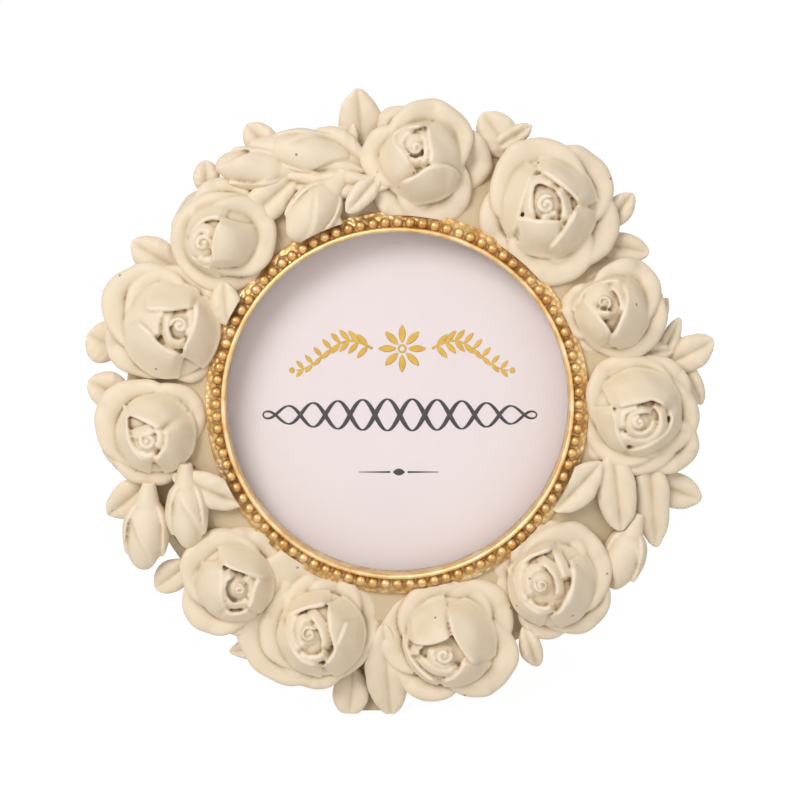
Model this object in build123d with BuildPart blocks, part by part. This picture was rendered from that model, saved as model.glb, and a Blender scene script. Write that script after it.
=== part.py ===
from build123d import *
import os
from math import acos, cos, radians, sin, sqrt

# A round easel photo frame: a cast wreath of roses, buds and leaves round a gilded beaded rim,
# a glazed round opening, and a clamped back board with a hinged strut.
# Millimetres and degrees. +Z is up, +X is the viewer's right and the picture faces -Y.

# Stance
lean_angle = 14.0
strut_open_angle = 28.0
foot_reach = 68.2
floor_flat_depth = 0.6

# Glazed opening
sight_diameter = 73.0
glass_diameter = 78.0
glass_thickness = 2.0
photo_diameter = 77.0
photo_thickness = 0.3
backing_diameter = 77.5
backing_thickness = 1.2
board_diameter = 78.0
board_thickness = 2.6
velour_thickness = 0.4
rebate_clearance = 0.5

# Cast wreath ring
ring_outer_diameter = 117.0
ring_side_height = 3.0
ring_shoulder_height = 6.0
ring_shoulder_inset = 2.0
ring_crown_diameter = 94.0
ring_crown_height = 9.8
ring_inner_height = 10.2
standing_lug_width = 14.0
standing_lug_offset = 6.0
standing_lug_length = 14.0
standing_lug_thickness = 2.6
standing_lug_corner = 2.0

# Gilded rim and beads
lip_width = 1.0
lip_height = 13.0
band_outer_diameter = 81.6
band_seat_height = 9.0
band_face_height = 11.2
bead_count = 92
bead_diameter = 2.0
bead_lip_gap = 0.1
bead_sink = 0.55
petal_rim_clearance = 0.35

# Roses
wreath_orbit = 50.0
bloom_radius = 12.0
bloom_height = 17.0
bloom_seat = 5.0
bloom_base_height = 9.0
petal_wall = 1.5
petal_depth = 4.2
petal_step = 0.2
petal_underside = 1.0
core_height = 7.0

# Leaves and buds
wreath_depth = 20.0
leaf_width_unit = 10.0
leaf_thickness = 2.8
stem_radius = 1.7
stem_length = 4.0
bud_tip_radius = 1.3

# Back hardware
pin_height = 22.0
pin_radius = 0.8
pin_fit = 0.05
knuckle_radius = 1.7
knuckle_standoff = 0.35
knuckle_width = 5.6
knuckle_gap = 0.2
hinge_width = 18.0
leaf_plate_length = 12.0
leaf_plate_thickness = 0.8
hinge_corner_radius = 1.5
strut_top_width = 16.0
strut_foot_width = 26.0
strut_top_gap = 3.0
strut_board_thickness = 2.4
strut_corner_radius = 3.0
rivet_shank_radius = 0.8
rivet_head_radius = 1.6
rivet_head_height = 0.6
board_rivet_depth = 1.6
rivet_pitch = 10.0
button_circle_diameter = 85.0
button_count = 4
button_width = 6.6
button_long_end = 9.5
button_short_end = 3.0
button_thickness = 0.8
button_gap = 0.3
button_hole_clearance = 0.1
screw_shank_radius = 1.1
screw_depth = 4.5
screw_head_radius = 2.3
screw_head_height = 1.2
screw_slot_width = 0.6
screw_slot_depth = 0.6

# Places of the roses: direction from the centre in degrees, distance as a share of the wreath orbit
rose_place_shares = {
    "rose_top": (85.2, 1.036),
    "rose_upper_right": (51.9, 1.03),
    "rose_right_upper": (24.2, 0.982),
    "rose_right_lower": (-3.1, 1.03),
    "rose_lower_right": (-49.0, 1.006),
    "rose_bottom": (-77.5, 1.034),
    "rose_bottom_left": (-109.4, 1.034),
    "rose_lower_left": (-131.8, 1.026),
    "rose_left_lower": (-172.6, 1.066),
    "rose_left_upper": (161.0, 1.038),
    "rose_upper_left": (136.7, 1.028),
}

# Petals of each rose, outer ones first. Direction in degrees, then, as shares of the bloom radius,
# the reach from the rose's centre and the petal's own radius; its half angle in degrees; how far
# its lip is drawn in, as a share of the bloom radius; and the lip's height as a share of the bloom height
rose_petal_shares = {
    "rose_top": [
        (58, 1.13, 0.75, 62, 0.30, 0.62), (173, 1.03, 0.55, 60, 0.32, 0.55),
        (243, 1.12, 0.60, 72, 0.30, 0.50), (298, 1.26, 0.67, 58, 0.32, 0.50),
        (122, 1.07, 0.38, 50, 0.20, 0.45), (0, 1.31, 0.55, 55, 0.33, 0.42),
        (22, 0.88, 0.90, 35, 0.60, 0.90), (285, 0.75, 0.80, 45, 0.48, 0.80),
        (178, 0.68, 0.70, 45, 0.35, 0.88), (105, 0.66, 0.80, 35, 0.12, 0.92),
        (60, 0.28, 0.30, 80, 0.08, 0.95),
    ],
    "rose_upper_right": [
        (110, 1.35, 0.87, 58, 0.40, 0.55), (46, 1.34, 0.72, 56, 0.30, 0.50),
        (337, 1.30, 0.77, 50, 0.30, 0.50), (192, 1.22, 0.69, 52, 0.30, 0.50),
        (276, 1.31, 0.76, 66, 0.35, 0.52), (172, 0.88, 0.90, 42, 0.36, 0.78),
        (50, 1.00, 1.10, 38, 0.42, 0.75), (318, 0.95, 1.00, 35, 0.55, 0.82),
        (258, 0.72, 0.80, 42, 0.52, 0.86), (90, 0.62, 0.50, 50, 0.20, 0.94),
        (170, 0.34, 0.42, 55, 0.14, 0.97), (10, 0.38, 0.38, 50, 0.16, 0.96),
    ],
    "rose_right_upper": [
        (186, 0.90, 0.50, 80, 0.25, 0.50), (272, 0.90, 0.65, 62, 0.20, 0.45),
        (338, 1.07, 0.80, 32, 0.20, 0.50), (45, 1.04, 0.62, 70, 0.25, 0.55),
        (200, 0.60, 0.62, 60, 0.30, 0.85), (345, 0.80, 0.80, 48, 0.50, 0.85),
        (95, 0.48, 0.37, 70, 0.15, 0.93), (40, 0.68, 0.64, 50, 0.25, 0.75),
    ],
    "rose_right_lower": [
        (176, 1.09, 0.90, 36, 0.22, 0.48), (116, 1.18, 0.80, 52, 0.25, 0.51),
        (62, 1.18, 0.70, 50, 0.22, 0.46), (4, 1.06, 0.75, 42, 0.22, 0.50),
        (318, 1.28, 0.52, 70, 0.25, 0.45), (265, 1.06, 0.76, 62, 0.25, 0.49),
        (222, 1.15, 0.46, 55, 0.28, 0.42), (88, 0.93, 0.71, 66, 0.16, 0.66),
        (93, 0.80, 0.85, 45, 0.44, 0.82), (268, 0.70, 0.74, 70, 0.28, 0.80),
        (0, 0.73, 0.72, 50, 0.22, 0.78), (185, 0.75, 0.68, 45, 0.24, 0.81),
        (250, 0.22, 0.30, 80, 0.06, 0.93),
    ],
    "rose_lower_right": [
        (98, 1.12, 0.68, 55, 0.22, 0.50), (40, 1.15, 0.85, 50, 0.30, 0.52),
        (322, 1.18, 0.72, 55, 0.28, 0.48), (262, 1.12, 0.50, 60, 0.20, 0.40),
        (165, 1.12, 0.60, 50, 0.30, 0.42), (118, 0.62, 0.62, 50, 0.10, 0.80),
        (355, 0.85, 0.80, 52, 0.50, 0.84), (222, 0.78, 0.80, 60, 0.30, 0.78),
        (140, 0.34, 0.32, 80, 0.07, 0.92),
    ],
    "rose_bottom": [
        (102, 1.18, 0.85, 42, 0.20, 0.50), (240, 1.30, 0.60, 50, 0.22, 0.42),
        (325, 1.34, 0.75, 65, 0.35, 0.50), (175, 1.27, 0.75, 50, 0.40, 0.45),
        (38, 1.28, 0.72, 50, 0.25, 0.48), (108, 0.78, 0.82, 42, 0.68, 0.86),
        (0, 0.88, 0.80, 55, 0.60, 0.82), (212, 0.88, 0.85, 45, 0.10, 0.60),
        (290, 0.85, 0.86, 45, 0.20, 0.70), (245, 0.45, 0.34, 80, 0.06, 0.85),
    ],
    "rose_bottom_left": [
        (75, 1.12, 0.70, 50, 0.20, 0.48), (25, 1.16, 0.80, 52, 0.22, 0.45),
        (315, 1.00, 1.30, 25, 0.20, 0.42), (262, 1.12, 0.62, 62, 0.22, 0.45),
        (178, 1.06, 0.75, 60, 0.25, 0.50), (0, 0.86, 0.85, 50, 0.42, 0.82),
        (95, 0.70, 0.75, 50, 0.28, 0.84), (180, 0.70, 0.70, 50, 0.20, 0.80),
        (262, 0.76, 0.75, 55, 0.14, 0.76), (150, 0.34, 0.32, 78, 0.08, 0.92),
    ],
    "rose_lower_left": [
        (142, 1.09, 0.75, 52, 0.28, 0.52), (222, 1.13, 0.68, 62, 0.28, 0.50),
        (64, 1.04, 0.72, 50, 0.22, 0.48), (5, 1.02, 0.50, 60, 0.22, 0.45),
        (276, 1.00, 0.60, 50, 0.25, 0.45), (182, 0.72, 0.80, 48, 0.36, 0.82),
        (75, 0.73, 0.75, 52, 0.45, 0.84), (310, 0.68, 0.68, 65, 0.25, 0.78),
        (200, 0.30, 0.30, 80, 0.06, 0.93),
    ],
    "rose_left_lower": [
        (128, 1.10, 0.80, 45, 0.35, 0.50), (193, 0.90, 0.52, 62, 0.22, 0.45),
        (42, 1.12, 0.65, 58, 0.25, 0.50), (270, 0.92, 0.68, 52, 0.25, 0.48),
        (335, 1.40, 0.45, 70, 0.32, 0.35), (178, 0.56, 0.62, 50, 0.16, 0.80),
        (98, 0.72, 0.80, 40, 0.40, 0.82), (0, 0.90, 0.81, 50, 0.50, 0.80),
        (260, 0.42, 0.40, 60, 0.12, 0.86), (20, 0.30, 0.28, 80, 0.06, 0.93),
    ],
    "rose_left_upper": [
        (138, 1.26, 0.80, 55, 0.35, 0.50), (64, 1.10, 0.85, 45, 0.25, 0.50),
        (215, 1.17, 0.75, 35, 0.25, 0.45), (312, 1.15, 0.60, 45, 0.25, 0.48),
        (90, 0.62, 0.80, 40, 0.33, 0.84), (352, 0.93, 0.90, 45, 0.36, 0.82),
        (235, 0.88, 0.85, 60, 0.45, 0.80), (0, 0.45, 0.34, 80, 0.08, 0.92),
    ],
    "rose_upper_left": [
        (84, 1.06, 0.62, 60, 0.25, 0.50), (152, 0.88, 0.55, 45, 0.22, 0.50),
        (192, 0.88, 0.60, 42, 0.25, 0.45), (5, 1.00, 0.72, 55, 0.22, 0.48),
        (298, 0.98, 0.90, 35, 0.25, 0.50), (187, 0.60, 0.61, 55, 0.12, 0.80),
        (345, 0.65, 0.55, 65, 0.38, 0.88), (110, 0.50, 0.50, 50, 0.25, 0.91),
        (200, 0.32, 0.30, 78, 0.07, 0.93),
    ],
}

# Buds: base and tip as shares of the wreath orbit across and up and of the wreath depth outward,
# then the bud's radius as a share of the leaf width unit
bud_shares = {
    "bud_upper_left_high": ((-0.52, 1.075, 0.50), (-0.27, 1.09, 0.60), 0.36),
    "bud_upper_left_side": ((-0.49, 0.99, 0.50), (-0.75, 1.005, 0.48), 0.36),
    "bud_upper_left_low": ((-0.28, 0.90, 0.60), (-0.43, 0.72, 0.68), 0.38),
    "bud_left_outer": ((-1.056, -0.41, 0.55), (-1.072, -0.71, 0.42), 0.44),
    "bud_left_inner": ((-0.90, -0.33, 0.60), (-0.89, -0.60, 0.54), 0.38),
    "bud_right": ((1.006, -0.58, 0.45), (0.93, -0.81, 0.38), 0.36),
}

# Leaves, by spray: base and tip in the same shares, then the half width as a share of the leaf width unit
leaf_shares = {
    "leaves_top": [
        ((-0.15, 1.108, 0.30), (-0.17, 1.335, 0.40), 0.40),
        ((-0.116, 0.924, 0.64), (-0.215, 0.81, 0.72), 0.21),
        ((0.45, 1.10, 0.35), (0.36, 1.234, 0.40), 0.36),
        ((0.448, 1.104, 0.36), (0.57, 1.18, 0.40), 0.19),
    ],
    "leaves_upper_right": [
        ((0.916, 0.788, 0.35), (1.00, 0.894, 0.40), 0.25),
        ((0.898, 0.672, 0.30), (1.076, 0.642, 0.35), 0.28),
    ],
    "leaves_right": [
        ((1.098, 0.354, 0.40), (1.156, 0.452, 0.40), 0.15),
        ((1.14, 0.214, 0.30), (1.206, 0.362, 0.35), 0.17),
        ((1.056, 0.216, 0.40), (1.182, 0.224, 0.35), 0.17),
        ((1.212, 0.188, 0.30), (1.354, 0.266, 0.35), 0.32),
        ((1.24, 0.126, 0.25), (1.308, -0.018, 0.30), 0.21),
    ],
    "leaves_lower_right": [
        ((1.132, -0.36, 0.30), (1.312, -0.426, 0.30), 0.34),
        ((0.928, -0.308, 0.55), (0.958, -0.554, 0.50), 0.36),
        ((1.082, -0.322, 0.45), (1.116, -0.636, 0.30), 0.32),
        ((0.802, -0.314, 0.62), (0.665, -0.456, 0.66), 0.34),
    ],
    "leaves_bottom": [
        ((0.564, -1.03, 0.40), (0.61, -1.162, 0.30), 0.21),
        ((-0.198, -1.23, 0.22), (-0.212, -1.385, 0.20), 0.34),
        ((-0.066, -1.092, 0.45), (-0.042, -1.385, 0.20), 0.28),
    ],
    "leaves_lower_left": [
        ((-0.938, -0.728, 0.35), (-1.052, -0.814, 0.25), 0.30),
        ((-0.518, -1.056, 0.35), (-0.736, -1.09, 0.30), 0.23),
    ],
    "leaves_left": [
        ((-1.224, 0.244, 0.30), (-1.328, 0.292, 0.35), 0.42),
        ((-1.192, 0.028, 0.30), (-1.332, 0.094, 0.30), 0.34),
        ((-1.108, -0.38, 0.35), (-1.252, -0.498, 0.25), 0.32),
        ((-0.862, -0.344, 0.60), (-0.66, -0.425, 0.65), 0.32),
    ],
    "leaves_upper_left": [
        ((-0.99, 0.60, 0.35), (-1.138, 0.688, 0.30), 0.34),
        ((-0.806, 0.926, 0.35), (-0.818, 1.036, 0.35), 0.25),
        ((-0.73, 0.464, 0.60), (-0.72, 0.335, 0.64), 0.28),
        ((-0.54, 1.074, 0.40), (-0.646, 1.184, 0.35), 0.30),
        ((-0.336, 1.054, 0.40), (-0.32, 1.172, 0.40), 0.25),
        ((-0.264, 1.032, 0.40), (-0.192, 1.192, 0.40), 0.30),
    ],
}
leaf_root_share = 0.5
calyx_share = 0.7
bud_cheek_share = 0.38
bloom_base_share = 0.95
core_foot_share = 0.80
core_top_share = 0.25
petal_lip_limit_share = 0.98
slot_length_share = 0.7

# Planes of the leaning frame
lean_cos = cos(radians(lean_angle))
lean_sin = sin(radians(lean_angle))
centre_height = foot_reach * lean_cos - floor_flat_depth
strut_length = (centre_height + pin_height * lean_cos) / cos(radians(strut_open_angle - lean_angle))
# How far the flowers reach forward of the face's centre and the strut's foot reaches back of it
front_reach = wreath_depth * lean_cos + wreath_orbit * lean_sin
foot_reach_back = (
    strut_length * sin(radians(strut_open_angle - lean_angle))
    + pin_height * lean_sin
    + (knuckle_standoff + leaf_plate_thickness + strut_board_thickness) * lean_cos
)
face_setback = (front_reach - foot_reach_back) / 2
FACE = Plane(
    origin=(0, face_setback, centre_height), x_dir=(1, 0, 0), z_dir=(0, -lean_cos, lean_sin)
)
FACE_AXIS = Axis(FACE.origin, FACE.z_dir)
# Radius across and height outward from the back of the wreath
SECTION = Plane(origin=FACE.origin, x_dir=FACE.x_dir, z_dir=FACE.x_dir.cross(FACE.z_dir))

# Levels outward from the back of the wreath
photo_level = velour_thickness + board_thickness + backing_thickness
glass_level = photo_level + photo_thickness
rebate_depth = glass_level + glass_thickness
sight_radius = sight_diameter / 2
rebate_radius = glass_diameter / 2 + rebate_clearance
lip_outer_radius = sight_radius + lip_width
band_outer_radius = band_outer_diameter / 2
bead_radius = bead_diameter / 2
bead_orbit = lip_outer_radius + bead_radius + bead_lip_gap


def face_point(across, up, outward):
    """A point of the leaning frame, from its place across, up and outward from the wreath's back."""
    return FACE.from_local_coords(Vector(across, up, outward))


def keep_largest(part):
    """The largest solid of a part, without the crumbs that a cut leaves."""
    return part.solids().sort_by(SortBy.VOLUME)[-1]


def boxes_meet(first, second):
    """True where the boxes of two shapes overlap."""
    a, b = first.bounding_box(), second.bounding_box()
    apart = (
        a.min.X > b.max.X or b.min.X > a.max.X
        or a.min.Y > b.max.Y or b.min.Y > a.max.Y
        or a.min.Z > b.max.Z or b.min.Z > a.max.Z
    )
    return not apart


def seated(shape, neighbours):
    """A shape cut back to the neighbours that it leans on, so that they meet face to face."""
    with BuildPart() as fitted:
        add(shape)
        for neighbour in neighbours:
            if boxes_meet(shape, neighbour):
                add(neighbour, mode=Mode.SUBTRACT)
    return keep_largest(fitted.part)


os.makedirs("parts", exist_ok=True)

# Wreath ring: the cast body behind the flowers, with the rebate for the glazing and a small
# standing lug behind the lowest leaves
with BuildPart() as wreath_ring:
    with BuildSketch(SECTION) as ring_profile:
        with BuildLine() as ring_outline:
            Polyline(
                (rebate_radius, 0),
                (ring_outer_diameter / 2, 0),
                (ring_outer_diameter / 2, ring_side_height),
                (ring_outer_diameter / 2 - ring_shoulder_inset, ring_shoulder_height),
                (ring_crown_diameter / 2, ring_crown_height),
                (band_outer_radius, ring_inner_height),
                (band_outer_radius, band_seat_height),
                (lip_outer_radius, band_seat_height),
                (lip_outer_radius, rebate_depth),
                (rebate_radius, rebate_depth),
                close=True,
            )
        make_face()
    revolve(axis=FACE_AXIS)
    with BuildSketch(FACE) as lug_outline:
        with Locations((-standing_lug_offset, -foot_reach)):
            RectangleRounded(
                standing_lug_width,
                standing_lug_length,
                standing_lug_corner,
                align=(Align.CENTER, Align.MIN),
            )
    extrude(amount=standing_lug_thickness)
    with BuildSketch(FACE) as screw_holes:
        with PolarLocations(
            button_circle_diameter / 2, button_count, start_angle=180 / button_count
        ):
            Circle(screw_shank_radius)
    extrude(amount=screw_depth, mode=Mode.SUBTRACT)
    split(bisect_by=Plane.XY, keep=Keep.TOP)
wreath_ring.part.label = "wreath_ring"
export_step(wreath_ring.part, "parts/wreath_ring.step")

# Gilt rim: the gold lip round the opening and the band that carries the beads
with BuildPart() as gilt_rim:
    with BuildSketch(SECTION) as rim_profile:
        with BuildLine() as rim_outline:
            Polyline(
                (sight_radius, rebate_depth),
                (lip_outer_radius, rebate_depth),
                (lip_outer_radius, band_seat_height),
                (band_outer_radius, band_seat_height),
                (band_outer_radius, band_face_height),
                (lip_outer_radius, band_face_height),
                (lip_outer_radius, lip_height - lip_width / 2),
            )
            ThreePointArc(
                (lip_outer_radius, lip_height - lip_width / 2),
                (sight_radius + lip_width / 2, lip_height),
                (sight_radius, lip_height - lip_width / 2),
            )
            Line((sight_radius, lip_height - lip_width / 2), (sight_radius, rebate_depth))
        make_face()
    revolve(axis=FACE_AXIS)
gilt_rim.part.label = "gilt_rim"
export_step(gilt_rim.part, "parts/gilt_rim.step")

# Beads in a row on the band, each sunk a little into it
with BuildPart(FACE.offset(band_face_height + bead_radius - bead_sink)) as rim_beads:
    with PolarLocations(bead_orbit, bead_count):
        Sphere(bead_radius)
    split(bisect_by=FACE.offset(band_face_height), keep=Keep.TOP)
rim_beads.part.label = "rim_beads"
export_step(rim_beads.part, "parts/rim_beads.step")

# What the flowers lean on: the ring, the rim, and clear air over the beads
with BuildPart() as wreath_core:
    add(wreath_ring.part)
    with BuildSketch(FACE) as clear_circle:
        Circle(bead_orbit + bead_radius + petal_rim_clearance)
    extrude(amount=wreath_depth + bloom_height)
    add(gilt_rim.part)


def rose_centre(name):
    """The centre of a rose in the plane of the wreath."""
    direction, distance_share = rose_place_shares[name]
    distance = wreath_orbit * distance_share
    return Vector(distance * cos(radians(direction)), distance * sin(radians(direction)), 0)


def rose_petal(centre, direction, reach_share, radius_share, half_angle, draw_share, rise_share):
    """One cupped petal: a round cap of a hollow ball, which is solid a little way below its lip."""
    radius = bloom_radius * radius_share
    offset = bloom_radius * (reach_share - radius_share)
    lip_share = min((radius_share - draw_share) / radius_share, petal_lip_limit_share)
    lip_elevation = acos(lip_share)
    elevation = lip_elevation - radians(half_angle)
    lip_level = bloom_seat + bloom_height * rise_share
    outward = lip_level - radius * sin(lip_elevation)
    turn = radians(direction)
    ball_centre = face_point(
        centre.X + offset * cos(turn), centre.Y + offset * sin(turn), outward
    )
    sideways = FACE.x_dir * cos(turn) + FACE.y_dir * sin(turn)
    facing = sideways * cos(elevation) + FACE.z_dir * sin(elevation)
    with BuildPart(Plane(origin=ball_centre, z_dir=facing)) as cap:
        Sphere(radius)
        if radius > 2 * petal_wall:
            Sphere(radius - petal_wall, mode=Mode.SUBTRACT)
        rim_centre = ball_centre + facing * (radius * cos(radians(half_angle)))
        split(bisect_by=Plane(origin=rim_centre, z_dir=facing), keep=Keep.TOP)
    with BuildPart(Plane(origin=ball_centre, z_dir=facing)) as body:
        Sphere(radius - petal_step)
        split(bisect_by=FACE.offset(lip_level - petal_depth), keep=Keep.BOTTOM)
    return [cap.part, body.part]


def rose(name, neighbours):
    """A whole rose: a heart and its petals, trimmed to its place between its neighbours."""
    centre = rose_centre(name)
    petals = []
    for row in rose_petal_shares[name]:
        petals += rose_petal(centre, *row)
    seams = []
    for neighbour in neighbours:
        away = rose_centre(neighbour) - centre
        middle = centre + away / 2
        across_seam = FACE.x_dir * away.X + FACE.y_dir * away.Y
        seams.append(Plane(origin=face_point(middle.X, middle.Y, 0), z_dir=across_seam))
    foot = Plane(origin=face_point(centre.X, centre.Y, 0), x_dir=FACE.x_dir, z_dir=FACE.z_dir)
    upward = (Align.CENTER, Align.CENTER, Align.MIN)
    with BuildPart() as bloom:
        with Locations(foot.location):
            Cone(bloom_radius, bloom_radius * bloom_base_share, bloom_base_height, align=upward)
        with Locations(foot.offset(bloom_base_height).location):
            Cone(
                bloom_radius * core_foot_share,
                bloom_radius * core_top_share,
                core_height,
                align=upward,
            )
        add(petals)
        for seam in seams:
            split(bisect_by=seam, keep=Keep.BOTTOM)
        split(bisect_by=FACE.offset(petal_underside), keep=Keep.TOP)
        split(bisect_by=Plane.XY, keep=Keep.TOP)
        add(wreath_core.part, mode=Mode.SUBTRACT)
    return keep_largest(bloom.part)


# The eleven roses
rose_names = list(rose_place_shares)
roses = {}
for index, name in enumerate(rose_names):
    beside = [rose_names[index - 1], rose_names[(index + 1) % len(rose_names)]]
    whole_rose = rose(name, beside)
    with BuildPart() as one_rose:
        add(whole_rose)
    one_rose.part.label = name
    export_step(one_rose.part, f"parts/{name}.step")
    roses[name] = one_rose.part


def wreath_point(shares):
    """A point of the wreath, from its shares of the orbit across and up and of the depth outward."""
    across, up, outward = shares
    return face_point(wreath_orbit * across, wreath_orbit * up, wreath_depth * outward)


def bud(base_shares, tip_shares, radius_share):
    """A closed bud on a short stem: a round cheek that tapers evenly to a small round tip."""
    base, tip = wreath_point(base_shares), wreath_point(tip_shares)
    length = (tip - base).length
    cheek = leaf_width_unit * radius_share
    cheek_height = length * bud_cheek_share
    tip_height = length - bud_tip_radius
    # The taper touches both balls, so its slope follows from their radii and their distance
    taper_sine = (cheek - bud_tip_radius) / (tip_height - cheek_height)
    taper_cosine = sqrt(1 - taper_sine**2)
    taper_foot = cheek_height + cheek * taper_sine
    taper_top = tip_height + bud_tip_radius * taper_sine
    upward = (Align.CENTER, Align.CENTER, Align.MIN)
    with BuildPart(Plane(origin=base, z_dir=tip - base)) as bud_body:
        with Locations((0, 0, cheek_height)):
            Sphere(cheek)
        with Locations((0, 0, tip_height)):
            Sphere(bud_tip_radius)
        with Locations((0, 0, taper_foot)):
            Cone(cheek * taper_cosine, bud_tip_radius * taper_cosine, taper_top - taper_foot,
                 align=upward)
        with Locations((0, 0, -stem_length)):
            Cone(stem_radius, cheek * calyx_share, stem_length + cheek_height - cheek * calyx_share,
                 align=upward)
    return bud_body.part


# The buds
buds = {}
for name, row in bud_shares.items():
    seated_bud = seated(bud(*row), [wreath_core.part, *roses.values(), *buds.values()])
    with BuildPart() as one_bud:
        add(seated_bud)
    one_bud.part.label = name
    export_step(one_bud.part, f"parts/{name}.step")
    buds[name] = one_bud.part


def leaf(base_shares, tip_shares, half_width_share):
    """A leaf: a pointed oval with a crowned face, rooted a little behind its visible base."""
    base, tip = wreath_point(base_shares), wreath_point(tip_shares)
    along = (tip - base).normalized()
    length = (tip - base).length
    root = length * leaf_root_share
    half_width = leaf_width_unit * half_width_share
    half_length = (length + root) / 2
    upright = (FACE.z_dir - along * FACE.z_dir.dot(along)).normalized()
    middle = base + along * (half_length - root)
    crown_radius = (half_length**2 + leaf_thickness**2) / (2 * leaf_thickness)
    with BuildPart() as blade:
        with BuildSketch(Plane(origin=middle, x_dir=along, z_dir=upright)) as blade_outline:
            with BuildLine() as blade_edge:
                ThreePointArc((-half_length, 0), (0, half_width), (half_length, 0))
                ThreePointArc((-half_length, 0), (0, -half_width), (half_length, 0))
            make_face()
        extrude(amount=leaf_thickness / 2, both=True)
        crown = Plane(origin=middle + upright * (leaf_thickness / 2 - crown_radius), z_dir=upright)
        with Locations(crown.location):
            Sphere(crown_radius, mode=Mode.INTERSECT)
        split(bisect_by=FACE.offset(petal_underside), keep=Keep.TOP)
        split(bisect_by=Plane.XY, keep=Keep.TOP)
    return blade.part


# The leaves, one node for each spray
earlier = [wreath_core.part, *roses.values(), *buds.values()]
for name, rows in leaf_shares.items():
    fitted_leaves = []
    for row in rows:
        fitted_leaves.append(seated(leaf(*row), earlier + fitted_leaves))
    with BuildPart() as spray:
        add(fitted_leaves)
    spray.part.label = name
    export_step(spray.part, f"parts/{name}.step")
    earlier.append(spray.part)

# Glass against the ledge of the rebate
with BuildPart() as glass:
    with BuildSketch(FACE.offset(glass_level)):
        Circle(glass_diameter / 2)
    extrude(amount=glass_thickness)
glass.part.label = "glass"
export_step(glass.part, "parts/glass.step")

# Printed insert card that stands in for the photograph
with BuildPart() as photo_insert:
    with BuildSketch(FACE.offset(photo_level)):
        Circle(photo_diameter / 2)
    extrude(amount=photo_thickness)
photo_insert.part.label = "photo_insert"
export_step(photo_insert.part, "parts/photo_insert.step")

# Backing card between the photograph and the board
with BuildPart() as backing_card:
    with BuildSketch(FACE.offset(velour_thickness + board_thickness)):
        Circle(backing_diameter / 2)
    extrude(amount=backing_thickness)
backing_card.part.label = "backing_card"
export_step(backing_card.part, "parts/backing_card.step")

# Hinge places: rivets through each leaf, and the strut's own plane, turned open
rivet_inset = leaf_plate_length / 2 + knuckle_radius
pin_depth = knuckle_radius + knuckle_standoff
pin_centre = face_point(0, pin_height, -pin_depth)
open_turn = radians(strut_open_angle)
strut_down = FACE.y_dir * -cos(open_turn) + FACE.z_dir * -sin(open_turn)
strut_back = FACE.y_dir * sin(open_turn) - FACE.z_dir * cos(open_turn)
# Across, and up the strut; its normal points away from the board
STRUT = Plane(origin=pin_centre, x_dir=-FACE.x_dir, z_dir=strut_back)
moving_plate_level = -knuckle_radius
strut_board_level = moving_plate_level + leaf_plate_thickness

# Back board with blind holes for the rivets of the hinge
with BuildPart() as back_board:
    with BuildSketch(FACE.offset(velour_thickness)):
        Circle(board_diameter / 2)
    extrude(amount=board_thickness)
    with BuildSketch(FACE.offset(velour_thickness)):
        with Locations((0, pin_height + rivet_inset)):
            with GridLocations(rivet_pitch, 0, 2, 1):
                Circle(rivet_shank_radius)
    extrude(amount=board_rivet_depth - velour_thickness, mode=Mode.SUBTRACT)
back_board.part.label = "back_board"
export_step(back_board.part, "parts/back_board.step")

# Velour skin on the back board
with BuildPart() as board_velour:
    with BuildSketch(FACE):
        Circle(board_diameter / 2)
        with Locations((0, pin_height + rivet_inset)):
            with GridLocations(rivet_pitch, 0, 2, 1):
                Circle(rivet_shank_radius, mode=Mode.SUBTRACT)
    extrude(amount=velour_thickness)
board_velour.part.label = "board_velour"
export_step(board_velour.part, "parts/board_velour.step")

# Hinge, fixed leaf: a plate on the board with two knuckles round the pin
with BuildPart() as hinge_fixed_leaf:
    with BuildSketch(FACE) as fixed_plate:
        with Locations((0, pin_height)):
            Rectangle(
                hinge_width, knuckle_radius + leaf_plate_length, align=(Align.CENTER, Align.MIN)
            )
        fillet(fixed_plate.vertices().group_by(Axis.Z)[-1], hinge_corner_radius)
        with Locations((0, pin_height)):
            Rectangle(
                knuckle_width + 2 * knuckle_gap,
                2 * (knuckle_radius + knuckle_gap),
                mode=Mode.SUBTRACT,
            )
    extrude(amount=-leaf_plate_thickness)
    with BuildSketch(Plane(origin=pin_centre, x_dir=FACE.y_dir, z_dir=FACE.x_dir)):
        Circle(knuckle_radius)
    extrude(amount=hinge_width / 2, both=True)
    with BuildSketch(Plane(origin=pin_centre, x_dir=FACE.y_dir, z_dir=FACE.x_dir)):
        Circle(knuckle_radius + knuckle_gap)
    extrude(amount=knuckle_width / 2 + knuckle_gap, both=True, mode=Mode.SUBTRACT)
    with BuildSketch(Plane(origin=pin_centre, x_dir=FACE.y_dir, z_dir=FACE.x_dir)):
        Circle(pin_radius)
    extrude(amount=hinge_width / 2, both=True, mode=Mode.SUBTRACT)
    with BuildSketch(FACE):
        with Locations((0, pin_height + rivet_inset)):
            with GridLocations(rivet_pitch, 0, 2, 1):
                Circle(rivet_shank_radius)
    extrude(amount=-leaf_plate_thickness, mode=Mode.SUBTRACT)
hinge_fixed_leaf.part.label = "hinge_fixed_leaf"
export_step(hinge_fixed_leaf.part, "parts/hinge_fixed_leaf.step")

# Hinge pin, held by the fixed leaf's knuckles
with BuildPart() as hinge_pin:
    with BuildSketch(Plane(origin=pin_centre, x_dir=FACE.y_dir, z_dir=FACE.x_dir)):
        Circle(pin_radius)
    extrude(amount=hinge_width / 2, both=True)
hinge_pin.part.label = "hinge_pin"
export_step(hinge_pin.part, "parts/hinge_pin.step")

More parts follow.
